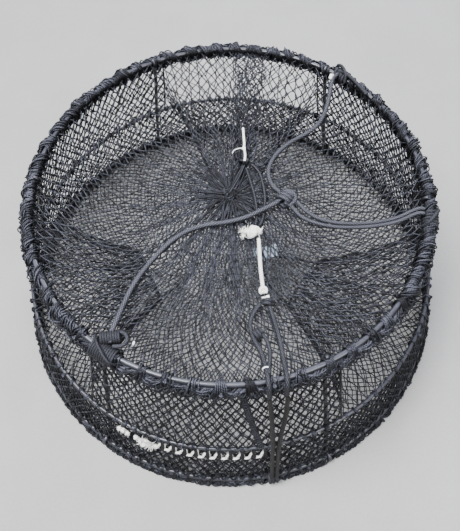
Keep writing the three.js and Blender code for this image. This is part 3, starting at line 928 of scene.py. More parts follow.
def upper_nets():
    for index, angle in enumerate(TUNNEL_ANGLES):
        surface = Surface()
        name = f"upper_netting_{index + 1}"
        low = (MID.radius, MID.z + MID.rod)
        high = (TOP.radius + 3 * MM, TOP.z - TOP.rod)
        at = wall(low, high, angle + TUNNEL_HALF, angle + TAU / 3 - TUNNEL_HALF)
        net(surface, at, 27, 13, False, seeded(name), radius=WALL_TWINE)
        v = np.linspace(0, 1, 24)
        for side in (0.0, 1.0):
            surface.strand(at(np.full_like(v, side), v), TWINE * 1.5, 6, step=4 * MM)
        put(surface, name, NETTING, "base", f"upper_side_net_{index + 1}", folds=True)


def seam():
    """The two edges of the side net, laced together down the front."""
    surface = Surface()
    rng = seeded("seam")
    t = np.linspace(0, 1, 120)
    z = MID.z + 4 * MM + (TOP.z - MID.z - 12 * MM) * t
    share = (z - MID.z) / (TOP.z - MID.z)
    radius = MID.radius + (TOP.radius + 3 * MM - MID.radius) * share + 1 * MM
    middle = np.radians(SEAM["low"] + (SEAM["high"] - SEAM["low"]) * t)
    for side in np.linspace(-0.55, 0.55, 9):
        wander = 0.2 * np.sin(TAU * (rng.uniform(5, 11) * t + rng.random()))
        lift = rng.uniform(-1.8, 0.6) * MM * np.cos(TAU * (6 * t + rng.random()))
        path = polar(radius + lift, middle + np.radians(side + wander), z)
        surface.tubes(path, TWINE * 1.2, sides=5, tint=rng.random())
    for turns, phase in ((26, 0.0), (23, 0.4)):
        lace = np.radians(0.75 * np.sin(TAU * (turns * t + phase)))
        lift = 2 * MM * np.cos(TAU * (turns * t + phase))
        surface.strand(polar(radius + lift, middle + lace, z), LACING * 0.9, 6, step=1.6 * MM, tint=0.4)
    put(surface, "net_seam", NETTING, "base", "side_net_seam", folds=True)


def purse_point(u, v):
    """The top net, from the hoop at v 0 to the gather at v 1, drawn into pleats near the middle."""
    reach = 1 - v
    centre_radius = GATHER["radius"] * 0.55
    radius = centre_radius + (TOP.radius - centre_radius) * reach
    angle = TAU * u
    pleat = np.clip((0.9 - radius / TOP.radius) / 0.9, 0, 1) ** 1.2
    angle = angle - 0.45 * np.abs(np.sin(np.pi * v)) ** 1.5 * np.sin(angle - PURSE["pull"])
    ripple = PURSE["pleats"] * angle
    angle = angle + pleat * 0.88 / PURSE["pleats"] * np.sin(ripple + 0.7 + 1.5 * np.sin(3 * angle))
    z = TOP.z - 2 * MM - PURSE["sag"] * (1 - (radius / TOP.radius) ** 1.2)
    z = z + pleat * 2.4 * MM * np.cos(PURSE["pleats"] * angle)
    centre = (1 - reach) ** 2
    x = radius * np.cos(angle) + GATHER["x"] * centre
    y = radius * np.sin(angle) + GATHER["y"] * centre
    return np.stack([x, y, z], axis=-1)


def around_gather(radius, spin, z):
    """Points round the gather in the middle of the top net, at a height above it."""
    x, y = GATHER["x"] + radius * np.cos(spin), GATHER["y"] + radius * np.sin(spin)
    return np.stack(np.broadcast_arrays(x, y, GATHER["z"] + z), axis=-1)


def top_net():
    surface = Surface()
    net(surface, purse_point, 118, 27, True, seeded("top"), bow=1.2 * MM, loose=0.08, radius=TWINE * 0.95)
    put(surface, "top_netting", NETTING, "top_hoop", "top_net")

    knot = Surface()
    rng = seeded("gather")
    pleats, turns = GATHER_PLEATS, GATHER_TURNS
    t = np.linspace(0, 1, 11)[None]
    spin = TAU * (np.arange(pleats)[:, None] + draws(rng, -0.4, 0.4, pleats)) / pleats
    spin = spin + rng.normal(0, 0.35, (pleats, 1)) * t**2
    radius = ((1 - t) * draws(rng, 24, 60, pleats) + t * draws(rng, 2, 9, pleats)) * MM
    z = 2 * MM + np.sin(np.pi * t**1.5) * draws(rng, -1, 4, pleats) * MM
    knot.tubes(around_gather(radius, spin, z), TWINE, sides=5, tint=0.35 * rng.random(pleats))
    spin = draws(rng, 0, TAU, turns) + rng.normal(0, 1.6, (turns, 1)) * t
    radius = ((1 - t) * draws(rng, 9, 17, turns) + t * draws(rng, 1, 7, turns)) * MM
    z = 1 * MM + np.sin(np.pi * t) * draws(rng, 1, 9, turns) * MM
    knot.tubes(around_gather(radius, spin, z), TWINE * 1.3, sides=5, tint=0.6 * rng.random(turns))
    t = np.linspace(0, 1, 30)
    for height, ring in ((-4, 5.5), (-1.5, 6.5), (1, 6), (3.5, 4.5)):
        radius = ring * MM * (1 + 0.15 * np.sin(TAU * 3 * t + height))
        path = around_gather(radius, TAU * 1.1 * t + height, (height + 2 * t) * MM)
        knot.tubes(path, LACING * 1.3, sides=6, tint=0.6)
    put(knot, "net_gather", NETTING, "top_hoop", "purse_gather")


def bottom_point(u, v):
    """The bottom net, from the hem at v 0 to its middle at v 1, flat on the ground."""
    radius = BOTTOM.radius + 2 * MM - BOTTOM.radius * v
    angle = TAU * u
    climb = np.clip((radius / BOTTOM.radius - 0.95) / 0.05, 0, 1)
    z = 1.6 * MM + 4 * MM * climb**2 + 0.4 * MM * (1 + np.sin(9 * angle)) * (1 - v) ** 0.5
    return polar(radius, angle, z)


def bottom_net():
    """Meshes in rings. Further in, each ring's meshes take up two of the ring outside."""
    zones = [
        ("outer", 0, 0.5, 184, 32), ("inner", 0.5, 0.78, 92, 18), ("middle", 0.78, 0.9, 46, 8),
        ("centre", 0.9, 0.985, 22, 5),
    ]
    for zone, start, end, columns, rows in zones:
        surface = Surface()

        def at(u, v, start=start, end=end):
            return bottom_point(u, start + (end - start) * v)

        net(surface, at, columns, rows, True, seeded(zone), radius=0.95 * MM, loose=0.1, fine=True)
        nodes = ["bottom_net"] if zone == "outer" else []
        put(surface, f"bottom_netting_{zone}", FINE_NETTING, "base", *nodes)


# ---------------------------------------------------------------- tunnels

MOUTH = {"radius": 152 * MM, "half_width": 50 * MM, "half_height": 30 * MM, "z": 152 * MM}
OUTER_SQUARENESS = 0.42  # 1 is an oval, and less is squarer


def squared(value, power):
    """The value to a power, with its sign kept: under 1 it makes a circle's sides flatter."""
    return np.sign(value) * np.abs(value) ** power


def turned(points, angle):
    """The points, turned about the upright axis."""
    x, y, z = np.moveaxis(np.asarray(points, float), -1, 0)
    c, s = math.cos(angle), math.sin(angle)
    return np.stack([x * c - y * s, x * s + y * c, z], axis=-1)


def tunnel_point(centre, u, v):
    """A funnel from the wall between two hoops to a low oval inside."""
    around = -even_turn(u)
    square = OUTER_SQUARENESS + (1 - OUTER_SQUARENESS) * v
    side, rise = squared(np.cos(around), square), squared(np.sin(around), square)
    t = (rise + 1) / 2
    low_z, high_z = MID.z + MID.rod, TOP.z - TOP.rod - 1 * MM
    wall_radius = MID.radius + (TOP.radius + 1 * MM - MID.radius) * t
    outer = polar(wall_radius, side * TUNNEL_HALF, low_z + (high_z - low_z) * t)
    inner_z = MOUTH["z"] + rise * MOUTH["half_height"]
    inner = np.stack([np.full_like(side, MOUTH["radius"]), side * MOUTH["half_width"], inner_z], axis=-1)
    ease = np.asarray(v)[..., None]
    point = outer * (1 - ease) + inner * ease
    point[..., 2] -= np.sin(np.pi * v) * 7 * MM * (1 - t)
    pinch = np.sin(np.pi * v) * 0.08
    point[..., 1] *= 1 - pinch
    point[..., 2] += (MOUTH["z"] + 60 * MM - point[..., 2]) * pinch * (t > 0.5)
    return turned(point, centre)


def even_turn(u):
    """The angle at the share u of a tunnel's outer mouth, so that its meshes lie evenly along the edge."""
    angle = np.linspace(0, TAU, 721)
    x = squared(np.cos(angle), OUTER_SQUARENESS) * TUNNEL_HALF * (MID.radius + TOP.radius) / 2
    y = squared(np.sin(angle), OUTER_SQUARENESS) * (TOP.z - MID.z) / 2
    along = np.concatenate([[0], np.cumsum(np.hypot(np.diff(x), np.diff(y)))])
    whole = np.floor(u)
    return TAU * whole + np.interp((u - whole) * along[-1], along, angle)


def tunnel(number, centre):
    surface = Surface()
    rng = seeded(f"tunnel_{number}")
    at = functools.partial(tunnel_point, centre)
    net(surface, at, 46, 11, True, rng, bow=2 * MM, loose=0.2, radius=TWINE * 0.78)
    put(surface, f"tunnel_netting_{number}", NETTING, "base", f"tunnel_net_{number}", folds=True)

    rim = Surface()
    u = np.linspace(0, 1, 72, endpoint=False)
    mouth = at(u, np.ones_like(u))
    for strand in range(3):
        twist = TAU * (9 * u + strand / 3)
        offset = polar(np.cos(twist), centre, np.sin(twist))
        path = mouth + 0.9 * MM * offset
        rim.tubes(path, 1.0 * MM, sides=6, closed=True, toward=UP, tint=0.2 + 0.3 * strand)
    put(rim, f"mouth_cord_{number}", LASHING, "base", f"tunnel_mouth_cord_{number}", folds=True)

    x0, z0 = MOUTH["radius"], MOUTH["z"]
    sides = [(x0 - 3 * MM, 47, 0), (0.112, 36, -5), (0.082, 24, -9), (0.066, 8, -11)]
    half = [(x, y * MM, z0 + z * MM) for x, y, z in sides]
    route = turned(half + [(x, -y, z) for x, y, z in reversed(half)], centre)
    rope(
        f"mouth_tie_{number}", route, TUNNEL_TIE, CORD, "base", [f"tunnel_tie_{number}"],
        laid(3, 9 * MM, 0.3 * MM), far_end="object", lay="taut", folds=True, sides=9, step=1.5 * MM,
    )


# ---------------------------------------------------------------- ropes


def braid(plaits, cell, depth):
    """The relief of a braid: plaits that cross over and under, `cell` long."""

    def relief(u, s):
        a = plaits * u + s / (2 * cell)
        b = plaits * u - s / (2 * cell)
        over = (np.floor(a) + np.floor(b)) % 2 == 0
        across = np.where(over, a, b) % 1
        along = np.where(over, b, a) % 1
        bump = np.sin(np.pi * across) ** 0.7 * (0.3 + 0.7 * np.sin(np.pi * along) ** 0.7)
        return depth * (bump - 0.5)

    return relief


def laid(strands, pitch, depth):
    """The relief of a laid cord: round strands that wind the same way."""

    def relief(u, s):
        phase = (strands * u + s * strands / pitch) % 1
        return depth * (2 * np.abs(np.sin(np.pi * phase)) ** 0.6 - 1.2)

    return relief


def rope(
    name, route, radius, finish, body, nodes, relief,
    far_end="knot", lay="loose", stiffness="limp", folds=False, sides=24, step=0.9 * MM, with_pieces=(),
):
    """A declared rope or cord along its route, with rounded ends."""
    path = smooth_route(route, step)
    thick = np.full(len(path), radius)
    thick[:3] *= ROPE_END
    thick[-3:] *= ROPE_END[::-1]
    surface = Surface()
    surface.tubes(path, thick, sides=sides, relief=relief)
    piece = put(surface, name, finish, body, *nodes, folds=folds)
    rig.cord(
        piece, exit=tuple(path[0]), length=route_length(path), diameter=2 * radius, far_end=far_end,
        stiffness=stiffness, lay=lay, with_pieces=with_pieces,
        path=[tuple(p) for p in smooth_route(route, 3 * MM)],
    )


def tangle(surface, centre, half, radius, turn, relief, sides=15, tint=0.5, step=1.0 * MM, flip=1):
    """A tight knot of one rope: three lobes that pass over and under, in a box of those half sizes."""
    t = np.linspace(0, TAU, 40, endpoint=False)
    x = (np.sin(t) + 2 * np.sin(2 * t)) / 3 * (half[0] - radius)
    y = (np.cos(t) - 2 * np.cos(2 * t)) / 3 * (half[1] - radius)
    z = -np.sin(3 * t) * flip * max(half[2] - radius, 0.55 * radius)
    points = turned(np.stack([x, y, z], axis=-1), turn) + np.asarray(centre)
    fine = smooth_route(np.concatenate([points, points[:1]]), step)[:-1]
    surface.tubes(fine, radius, sides=sides, closed=True, toward=(0.13, 0.07, 1), relief=relief, tint=tint)


def coil(surface, ring, angle, turns, radius, distance, centre, sides):
    """Turns of rope side by side round a hoop, and one that crosses over them."""
    t = np.linspace(0, 1, turns * 18 + 1)
    around = math.radians(150) - TAU * turns * t
    along = angle + (t - 0.5) * turns * 2.02 * radius / ring.radius
    surface.strand(round_ring(ring, distance, around, along, *centre), radius, sides, TIE_DOWN_BRAID)
    along = angle + np.array([-1.15, -0.8, 0, 0.8, 1.15]) * turns * radius / ring.radius
    out = np.array([-1.05, -0.35, 0.35, 0.9, 0.6]) * distance
    up = np.array([0.35, 1.35, 1.7, 1.2, 0.2]) * distance
    over = polar(ring.radius + centre[0] + out, along, ring.z + centre[1] + up)
    surface.strand(over, radius * 0.95, sides, TIE_DOWN_BRAID)


def helix(centre, axis, radius, length, turns, start=0.0, flat=1.0):
    """A coil's points: `turns` round `axis`, over `length`. `flat` squashes it in height."""
    axis = unit(np.asarray(axis, float))
    side = unit(np.cross([0.0, 0.0, 1.0], axis))
    up = np.cross(axis, side)
    t = np.linspace(0, 1, int(turns * 16) + 1)[:, None]
    spin = start + TAU * turns * t
    round_it = np.cos(spin) * side + flat * np.sin(spin) * up
    return np.asarray(centre) + axis * (t - 0.5) * length + radius * round_it


BRIDLE_BRAID = braid(PLAITS, BRAID_CELL, 0.8 * MM)
TIE_DOWN_BRAID = braid(PLAITS, BRAID_CELL, 0.55 * MM)
COTTON_LAY = laid(3, 11 * MM, 0.45 * MM)
CLOSURE_LAY = laid(3, 10 * MM, 0.3 * MM)
HITCHES = [  # degrees, turns, the radius of the rope and its sides, and its distance from the rod's middle
    (236.2, 11, 1.7 * MM, 12, 12 * MM),
    (48.8, 5, BRIDLE_DOUBLED, 18, 10 * MM),
    (347.6, 5, BRIDLE_DOUBLED, 18, 10 * MM),
]


def middle_of(node):
    low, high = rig.box(node)
    return np.array((low + high) / 2)


def bridle():
    knot = Surface()
    centre = middle_of("bridle_knot")
    turns = helix(centre, (math.cos(0.9), math.sin(0.9), 0), 9.6 * MM, 19 * MM, 3.2, 2.2, 0.8)
    inside = centre + mm((-14, -6, 0), (-6, -2, 1), (0, 1, 1), (6, 0, 0), (13, -5, 0))
    ear = centre + mm((3, 11, 4), (11, 9.5, 3.5), (16.5, 2, 2), (14, -7, 1), (6, -12, 0), (-2, -13, -1))
    for points in (turns, inside, ear):
        knot.strand(points, BRIDLE * 0.9, 22, BRIDLE_BRAID)
    knot_piece = put(knot, "bridle_knot_turns", BRIDLE_ROPE, "top_hoop", "bridle_knot")

    hitches = []
    for number, (degrees, turns, radius, sides, distance) in enumerate(HITCHES, 1):
        surface = Surface()
        coil(surface, TOP, math.radians(degrees), turns, radius, distance, (2 * MM, -1.5 * MM), sides)
        if number == 1:
            hitch_tail(surface)
        name = f"bridle_hitch_turns_{number}"
        hitches.append(put(surface, name, DARK_ROPE, "top_hoop", f"bridle_hitch_{number}"))

    legs = [  # CAD node, radius, whether the route is turned to start at the hoop, and the pieces on it
        ("bridle_leg_1", BRIDLE, False, [knot_piece, hitches[0]]),
        ("bridle_leg_2", BRIDLE, True, [hitches[1]]),
        ("bridle_leg_3a", BRIDLE_DOUBLED, True, [hitches[2]]),
        ("bridle_leg_3b", BRIDLE_DOUBLED, True, []),
    ]
    for node, radius, from_far, with_pieces in legs:
        points = ROUTES[node][::-1] if from_far else ROUTES[node]
        end = centre + 0.55 * (points[-1] - centre)
        rope(
            node.replace("leg", "rope"), [*points, end], radius, BRIDLE_ROPE, "top_hoop", [node],
            BRIDLE_BRAID, stiffness="medium", with_pieces=with_pieces, sides=32,
        )

    tail = Surface()
    beyond = mm((196, 231, 318), (205, 223, 320.5), (216, 208, 321), (226, 192, 319.5), (236, 176, 317))
    tail.strand(beyond, BRIDLE * 0.9, 24, BRIDLE_BRAID)
    put(tail, "bridle_tail", DARK_ROPE, "top_hoop")
    melted = Surface()
    melted_tip(melted, mm((178, 207, 323.5), (180, 212, 325.5), (184, 216, 324.5)), 3.2 * MM)
    melted_tip(melted, mm((-131.5, -244.5, 320.5), (-128.5, -245.5, 319.5)), 3.0 * MM)
    put(melted, "melted_rope_ends", NYLON, "top_hoop")


def hitch_tail(surface):
    """What is left of the first hitch's rope: turns beside the hoop, and a tail that curves away from it."""
    for reach, turns, start in ((7.6, 7.5, 0.4), (5.0, 6.5, 1.4)):
        beside = helix((-0.161, -0.2355, 0.3185), (1, 0.05, 0), reach * MM, 25 * MM, turns, start)
        surface.strand(beside, 1.75 * MM, 12, TIE_DOWN_BRAID)
    tail = mm(
        (-152, -229, 322), (-143.5, -231.5, 322.5), (-138.5, -238, 322.5),
        (-140.5, -245.5, 322), (-148, -249.5, 322), (-157, -249, 321.5),
    )
    surface.strand(tail, BRIDLE_DOUBLED, 18, TIE_DOWN_BRAID)
    surface.strand(mm((-140.5, -245.5, 321), (-136, -247.5, 320.5), (-132, -246, 320.5)), 1.2 * MM, 8)


def melted_tip(surface, points, radius):
    """A rope's end, melted to a bead so that it doesn't fray."""
    path = smooth_route(points, 0.5 * MM)
    t = np.linspace(0, 1, len(path))
    bead = radius * np.clip(np.sin(np.pi * (0.06 + 0.88 * t)), 0.1, 1) ** 0.5
    surface.tubes(path, bead, sides=16, relief=lambda u, s: 0.3 * MM * np.sin(TAU * 2 * u + s * 900))


def closure_line():
    knot = Surface()
    centre = middle_of("closure_knot")
    tangle(knot, centre, (10 * MM, 9 * MM, 7 * MM), CLOSURE, 0.5, CLOSURE_LAY)
    tangle(knot, centre, (8 * MM, 7 * MM, 6 * MM), CLOSURE, 2.0, CLOSURE_LAY, flip=-1)
    knot_piece = put(knot, "closure_knot_turns", CORD, "top_hoop", "closure_knot")
    for node, with_pieces in (("closure_cord_a", [knot_piece]), ("closure_cord_b", [])):
        rope(
            node.replace("cord", "line"), ROUTES[node], CLOSURE, CORD, "top_hoop", [node],
            CLOSURE_LAY, with_pieces=with_pieces, sides=15, step=1.2 * MM,
        )
    net_bunch(centre)


def net_bunch(knot):
    """The purse net's far side, drawn together in a narrow band from the hoop to the closure knot."""
    surface = Surface()
    rng = seeded("bunch")
    count = BUNCH_STRANDS
    t = np.linspace(0, 1, 12)[None, :, None]
    foot = np.array([GATHER["x"], GATHER["y"], GATHER["z"] + 2 * MM]) + rng.normal(0, 3 * MM, (count, 1, 3))
    head = knot + rng.normal(0, 3 * MM, (count, 1, 3)) * [1, 1, 0.5] - [0, 0, 4 * MM]
    sway = np.sin(np.pi * t) * rng.normal(0, 3.5 * MM, (count, 1, 3)) * [1, 1, 0.3]
    surface.tubes(foot * (1 - t) + head * t + sway, TWINE * 1.2, sides=5, tint=rng.random(count) * 0.5)
    foot_x = 50 * MM
    foot_y = math.sqrt(TOP.radius**2 - foot_x**2)

    def at(u, v):
        wide = (2 * u - 1) * (24 * MM * (1 - v) + 3 * MM + 7 * MM * np.sin(np.pi * v))
        wide = wide * (1 + 0.12 * np.sin(TAU * 3 * v + 3 * u))
        y = foot_y * (1 - v) + (knot[1] + 4 * MM) * v
        x = (foot_x * (1 - v) + knot[0] * v) + wide
        distance = np.hypot(x, y)
        z = TOP.z + 1 * MM - PURSE["sag"] * (1 - (distance / TOP.radius) ** 1.2)
        z = np.minimum(z + 1.5 * MM * np.sin(9 * TAU * u), TOP.z - 4 * MM)
        return np.stack([x, y, z], axis=-1)

    net(surface, at, 9, 46, False, rng, bow=2 * MM, loose=0.3, knots=False, radius=TWINE * 0.8)
    put(surface, "net_bunch", NETTING, "top_hoop")


def frayed(surface, centre, count, reach, rng, squash, radius=0.75 * MM, lift=1.0):
    """Loose yarns that curl out of a knot."""
    direction = unit(rng.normal(0, 1, (count, 1, 3)) * np.asarray(squash))
    curl = unit(rng.normal(0, 1, (count, 1, 3)))
    t = np.linspace(0, 1, 9)[None, :, None]
    length = reach * rng.uniform(0.45, 1, (count, 1, 1))
    wave = np.sin(TAU * t * rng.uniform(0.5, 1.3, (count, 1, 1))) * curl * length * 0.22
    paths = np.asarray(centre) + direction * length * t + wave
    paths[..., 2] = np.maximum(paths[..., 2], centre[2] - reach * lift)
    thin = radius * np.linspace(1, 0.35, 9)[None] * np.ones((count, 1))
    surface.tubes(paths, thin, sides=4, tint=rng.random(count))


def cotton():
    knot = Surface()
    rng = seeded("cotton")
    centre = middle_of("cotton_knot")
    tangle(knot, centre, (14 * MM, 9 * MM, 7 * MM), COTTON * 1.1, 0.1, COTTON_LAY)
    tangle(knot, centre, (10 * MM, 9 * MM, 7 * MM), COTTON, 1.3, COTTON_LAY, flip=-1)
    for along, rise, number in ((-14, 2, 26), (-12, -5, 22), (-7, 4, 12), (0, 5, 6), (9, -2, 8), (13, 3, 14)):
        spot = centre + np.array([along, rise, 0]) * MM
        frayed(knot, spot, number, 8.5 * MM, rng, (1, 1.3, 0.7), 0.8 * MM, lift=0.6)
    knot_piece = put(knot, "cotton_knot_turns", WHITE_COTTON, "top_hoop", "cotton_knot")
    end = Surface()
    hook = mm((0, 3, 1), (-4, 0, 3), (-4.5, 5, 4), (0, 8, 4), (4, 5, 3), (3, 0, 1))
    hook = ROUTES["cotton_cord"][-1] + hook
    end.strand(hook, COTTON * 0.75, 12, COTTON_LAY)
    end_piece = put(end, "cotton_end_hook", WHITE_COTTON, "top_hoop")
    rope(
        "cotton_line", ROUTES["cotton_cord"], COTTON, WHITE_COTTON, "top_hoop", ["cotton_cord"],
        COTTON_LAY, far_end="object", with_pieces=[knot_piece, end_piece], sides=15,
    )


def band(surface, centre, radii, axis, width, thickness):
    """A flat strap bent round into an oval, facing along `axis`."""
    axis = unit(np.asarray(axis, float))
    first = unit(np.cross(axis, [0.3, 0.2, 1]))
    second = np.cross(axis, first)
    t = np.linspace(0, TAU, 40, endpoint=False)[:, None]
    path = np.asarray(centre) + radii[0] * np.cos(t) * first + radii[1] * np.sin(t) * second
    surface.tubes(path, width / 2, sides=12, closed=True, toward=axis, flat=thickness / width)


def strap(surface, points, width, thickness, toward):
    surface.strand(points, width / 2, 12, toward=toward, flat=thickness / width)


def block(surface, centre, size, turn):
    """A small moulded block with rounded edges: the head of a cable tie."""
    u = np.linspace(0, TAU, 24, endpoint=False)[None]
    v = np.linspace(-np.pi / 2, np.pi / 2, 13)[:, None]
    power = 0.35
    x = squared(np.cos(v), power) * squared(np.cos(u), power) * size[0] / 2
    y = squared(np.cos(v), power) * squared(np.sin(u), power) * size[1] / 2
    z = squared(np.sin(v), power) * size[2] / 2 + 0 * u
    points = turned(np.stack([x, y, z], axis=-1), turn) + np.asarray(centre)
    rows, columns = points.shape[:2]
    j, i = np.meshgrid(np.arange(rows - 1) * columns, np.arange(columns), indexing="ij")
    beside = (i + 1) % columns
    faces = np.stack([j + i, j + beside, j + columns + beside, j + columns + i], axis=-1).reshape(-1, 4)
    caps = [np.arange(columns)[None, ::-1], (rows - 1) * columns + np.arange(columns)[None]]
    all_faces = [faces, *caps]
    uvs = [np.zeros((*f.shape, 2)) for f in all_faces]
    surface.add(points.reshape(-1, 3), np.full(rows * columns, 0.5), all_faces, uvs)


def cable_ties():
    long_tie = Surface()
    strap(long_tie, ROUTES["cable_tie_long"][2:], 3.6 * MM, 1.5 * MM, (1, 0, 0.2))
    tail = mm((27.5, 79.5, 309), (20, 80.5, 307.5), (12.5, 79, 305), (9.5, 74.5, 303))
    strap(long_tie, tail, 2.2 * MM, 1.5 * MM, UP)
    below = mm((28.5, 79, 308.5), (29.2, 73, 310.5), (29.6, 64, 310.5), (28.5, 55, 308))
    strap(long_tie, below, 3.4 * MM, 1.4 * MM, (1, 0, 0))
    block(long_tie, (0.0285, 0.0785, 0.3095), (5.2 * MM, 5 * MM, 4 * MM), 0.1)
    put(long_tie, "cable_tie_strap", NYLON, "top_hoop", "cable_tie_long")

    short = Surface()
    band(short, (0.0475, -0.1825, 0.3075), (5.4 * MM, 3.6 * MM), (0.15, 1, 0), 2.4 * MM, 1.3 * MM)
    block(short, (0.0500, -0.1815, 0.3118), (4.6 * MM, 3.6 * MM, 3 * MM), 0.2)
    put(short, "cable_tie_ring", NYLON, "top_hoop", "cable_tie_short")

    white = Surface()
    band(white, (0.0413, -0.2845, 0.3152), (4.8 * MM, 4.6 * MM), (0.15, -1, 0.3), 2.2 * MM, 1.0 * MM)
    put(white, "white_band", NYLON, "top_hoop")


def tag():
    u, v = np.meshgrid(np.linspace(-1, 1, 25), np.linspace(-1, 1, 15))
    curl = 1.6 * MM * (u**2 - 0.3) + 0.5 * MM * np.sin(5 * u + 2 * v)
    flat = np.stack([u * 18 * MM, v * 10 * MM, curl], axis=-1)
    surface = Surface()
    surface.patch(turned(flat, math.radians(12)) + middle_of("tag"), thickness=0.5 * MM)
    put(surface, "blank_tag", FILM, "top_hoop", "tag")


def tie_down():
    for node in ("tie_down_top_a", "tie_down_top_b"):
        last = ROUTES[node][-1]
        wall_start = ROUTES[node.replace("top", "wall")][0]
        route = [*ROUTES[node], last + 0.75 * (wall_start - last)]
        rope(
            node.replace("down", "line"), route, TIE_DOWN, DARK_ROPE, "top_hoop", [node],
            TIE_DOWN_BRAID, far_end="object", stiffness="medium", step=1.1 * MM,
        )
    knot = Surface()
    thin = TIE_DOWN * 0.8
    for wound in (
        helix((0.049, -0.188, 0.308), (0.3, 1, 0), 5.4 * MM, 9 * MM, 1.8, 0.5),
        helix((0.034, -0.2345, 0.3105), (0.9, 0.5, 0), 5.6 * MM, 10 * MM, 2.2, 0.8),
    ):
        knot.strand(wound, thin, 18, TIE_DOWN_BRAID)
    second = mm(
        (38, -234.5, 312), (44, -243, 312), (47.5, -255, 312), (47.5, -268, 313.5), (45.5, -281, 316),
        (45, -292, 319.5),
    )
    knot.strand(second, thin, 20, TIE_DOWN_BRAID, step=1.1 * MM)
    put(knot, "tie_line_loop", DARK_ROPE, "top_hoop")

    foot = Surface()
    coil(foot, BOTTOM, math.radians(TIE_FOOT), 3, TIE_DOWN * 0.9, 10.3 * MM, (1.5 * MM, 1 * MM), 18)
    foot_piece = put(foot, "tie_line_foot", DARK_ROPE, "base", "tie_down_knot")
    for node, with_pieces in (("tie_down_wall_a", [foot_piece]), ("tie_down_wall_b", [])):
        rope(
            node.replace("down", "line"), ROUTES[node], TIE_DOWN, WALL_ROPE, "base", [node],
            TIE_DOWN_BRAID, stiffness="medium", folds=True, step=1.1 * MM, with_pieces=with_pieces,
        )


STITCHES = {"count": 10, "start": math.radians(249), "end": math.radians(277.4), "z": MID.z - 20 * MM}
STITCH = [  # share of the stitch, mm outward, mm up
    (0.0, 0.2, -4), (0.13, 1.4, -4.2), (0.42, 1.2, -3.8), (0.51, 0.6, 0.2), (0.58, 0.0, 3.6),
    (0.67, -2.0, 4), (0.76, -6.6, 2.0), (0.9, -7.5, -3.0),
]


def rot_cord_radius(z):
    """How far from the trap's axis the rot cord lies, just outside the lower wall."""
    low, high = LOWER_NET
    top, bottom = MID.radius - 1 * MM, BOTTOM.radius - 3.2 * MM
    return bottom + (top - bottom) * (z - low.z) / (high.z - low.z) + 4.5 * MM


def by_stitch(i, share, out, up):
    """A point at a share of stitch i, so many mm out and up from the rot cord's line."""
    z = STITCHES["z"] + up * MM
    angle = STITCHES["start"] + (STITCHES["end"] - STITCHES["start"]) * (i + share) / STITCHES["count"]
    return polar(rot_cord_radius(z) + out * MM, angle, z)


def rot_cord():
    """White cotton laced along the wall: along outside a mesh, up across it, and back behind the next."""
    knot = Surface()
    rng = seeded("rot")
    centre = middle_of("rot_cord_knot")
    size = (11 * MM, 7 * MM, 6 * MM)
    tangle(knot, centre, size, ROT_CORD * 1.2, math.radians(336.6), COTTON_LAY, sides=12)
    for shift, rise, number in ((-7, 0, 34), (0, 1, 48), (7, -2, 48), (13, -4, 20)):
        along = math.radians(247) + shift * MM / BOTTOM.radius
        spot = polar(math.hypot(centre[0], centre[1]), along, centre[2] + rise * MM)
        frayed(knot, spot, number, 13 * MM, rng, (1, 0.6, 1.6))
    for degrees, rise, number in ((239.8, 5, 26), (240.9, 8, 22), (241.9, 1, 22), (244.3, -1, 0)):
        z = STITCHES["z"]
        spot = polar(rot_cord_radius(z) + 2 * MM, math.radians(degrees), z + rise * MM)
        if number:
            frayed(knot, spot, number, 6.5 * MM, rng, (1, 0.6, 1.5))
        tangle(knot, spot, (4 * MM, 4 * MM, 6 * MM), ROT_CORD, degrees, COTTON_LAY, sides=8)
    knot_piece = put(knot, "rot_cord_frays", WHITE_COTTON, "base", "rot_cord_knot", folds=True)
    points = [by_stitch(i, *place_at) for i in range(STITCHES["count"]) for place_at in STITCH]
    rope(
        "rot_cord_line", points, ROT_CORD, WHITE_COTTON, "base", ["rot_cord"], COTTON_LAY,
        far_end="object", folds=True, sides=12, step=0.8 * MM, with_pieces=[knot_piece],
    )
    cover = Surface()
    for i in range(STITCHES["count"]):
        for share in (0.81, 0.89, 0.97):
            bar = [(share - 0.06, 0.6, 18), (share, 1.0, 5), (share + 0.05, 2.0, -7)]
            points = [by_stitch(i, *place_at) for place_at in bar]
            cover.strand(points, 1.1 * WALL_TWINE, 6, step=2 * MM, tint=0.5 * rng.random())
    put(cover, "rot_cord_meshes", NETTING, "base", folds=True)


# ---------------------------------------------------------------- hems and lashings


def hem_strands(surface, ring, hem, count, start, end, closed, rng, radius, waves):
    """The bunched edge of the netting: strands that wander round each other beside the hoop."""
    length = end - start
    t = np.linspace(0, 1, int(length * ring.radius / (5 * MM)), endpoint=not closed)
    cycles = max(1, int(round(waves * length / TAU)))
    for strand in range(count):
        phase = TAU * strand / count
        around = phase + TAU * cycles * t + 0.9 * np.sin(TAU * rng.integers(3, 9) * t + phase)
        away = (hem["radius"] - radius) * (0.7 + 0.3 * np.sin(TAU * rng.integers(20, 40) * t + 2 * phase))
        path = round_ring(ring, away, around, start + length * t, hem["out"], -hem["down"])
        surface.tubes(path, radius, sides=5, closed=closed, toward=UP, tint=rng.random())


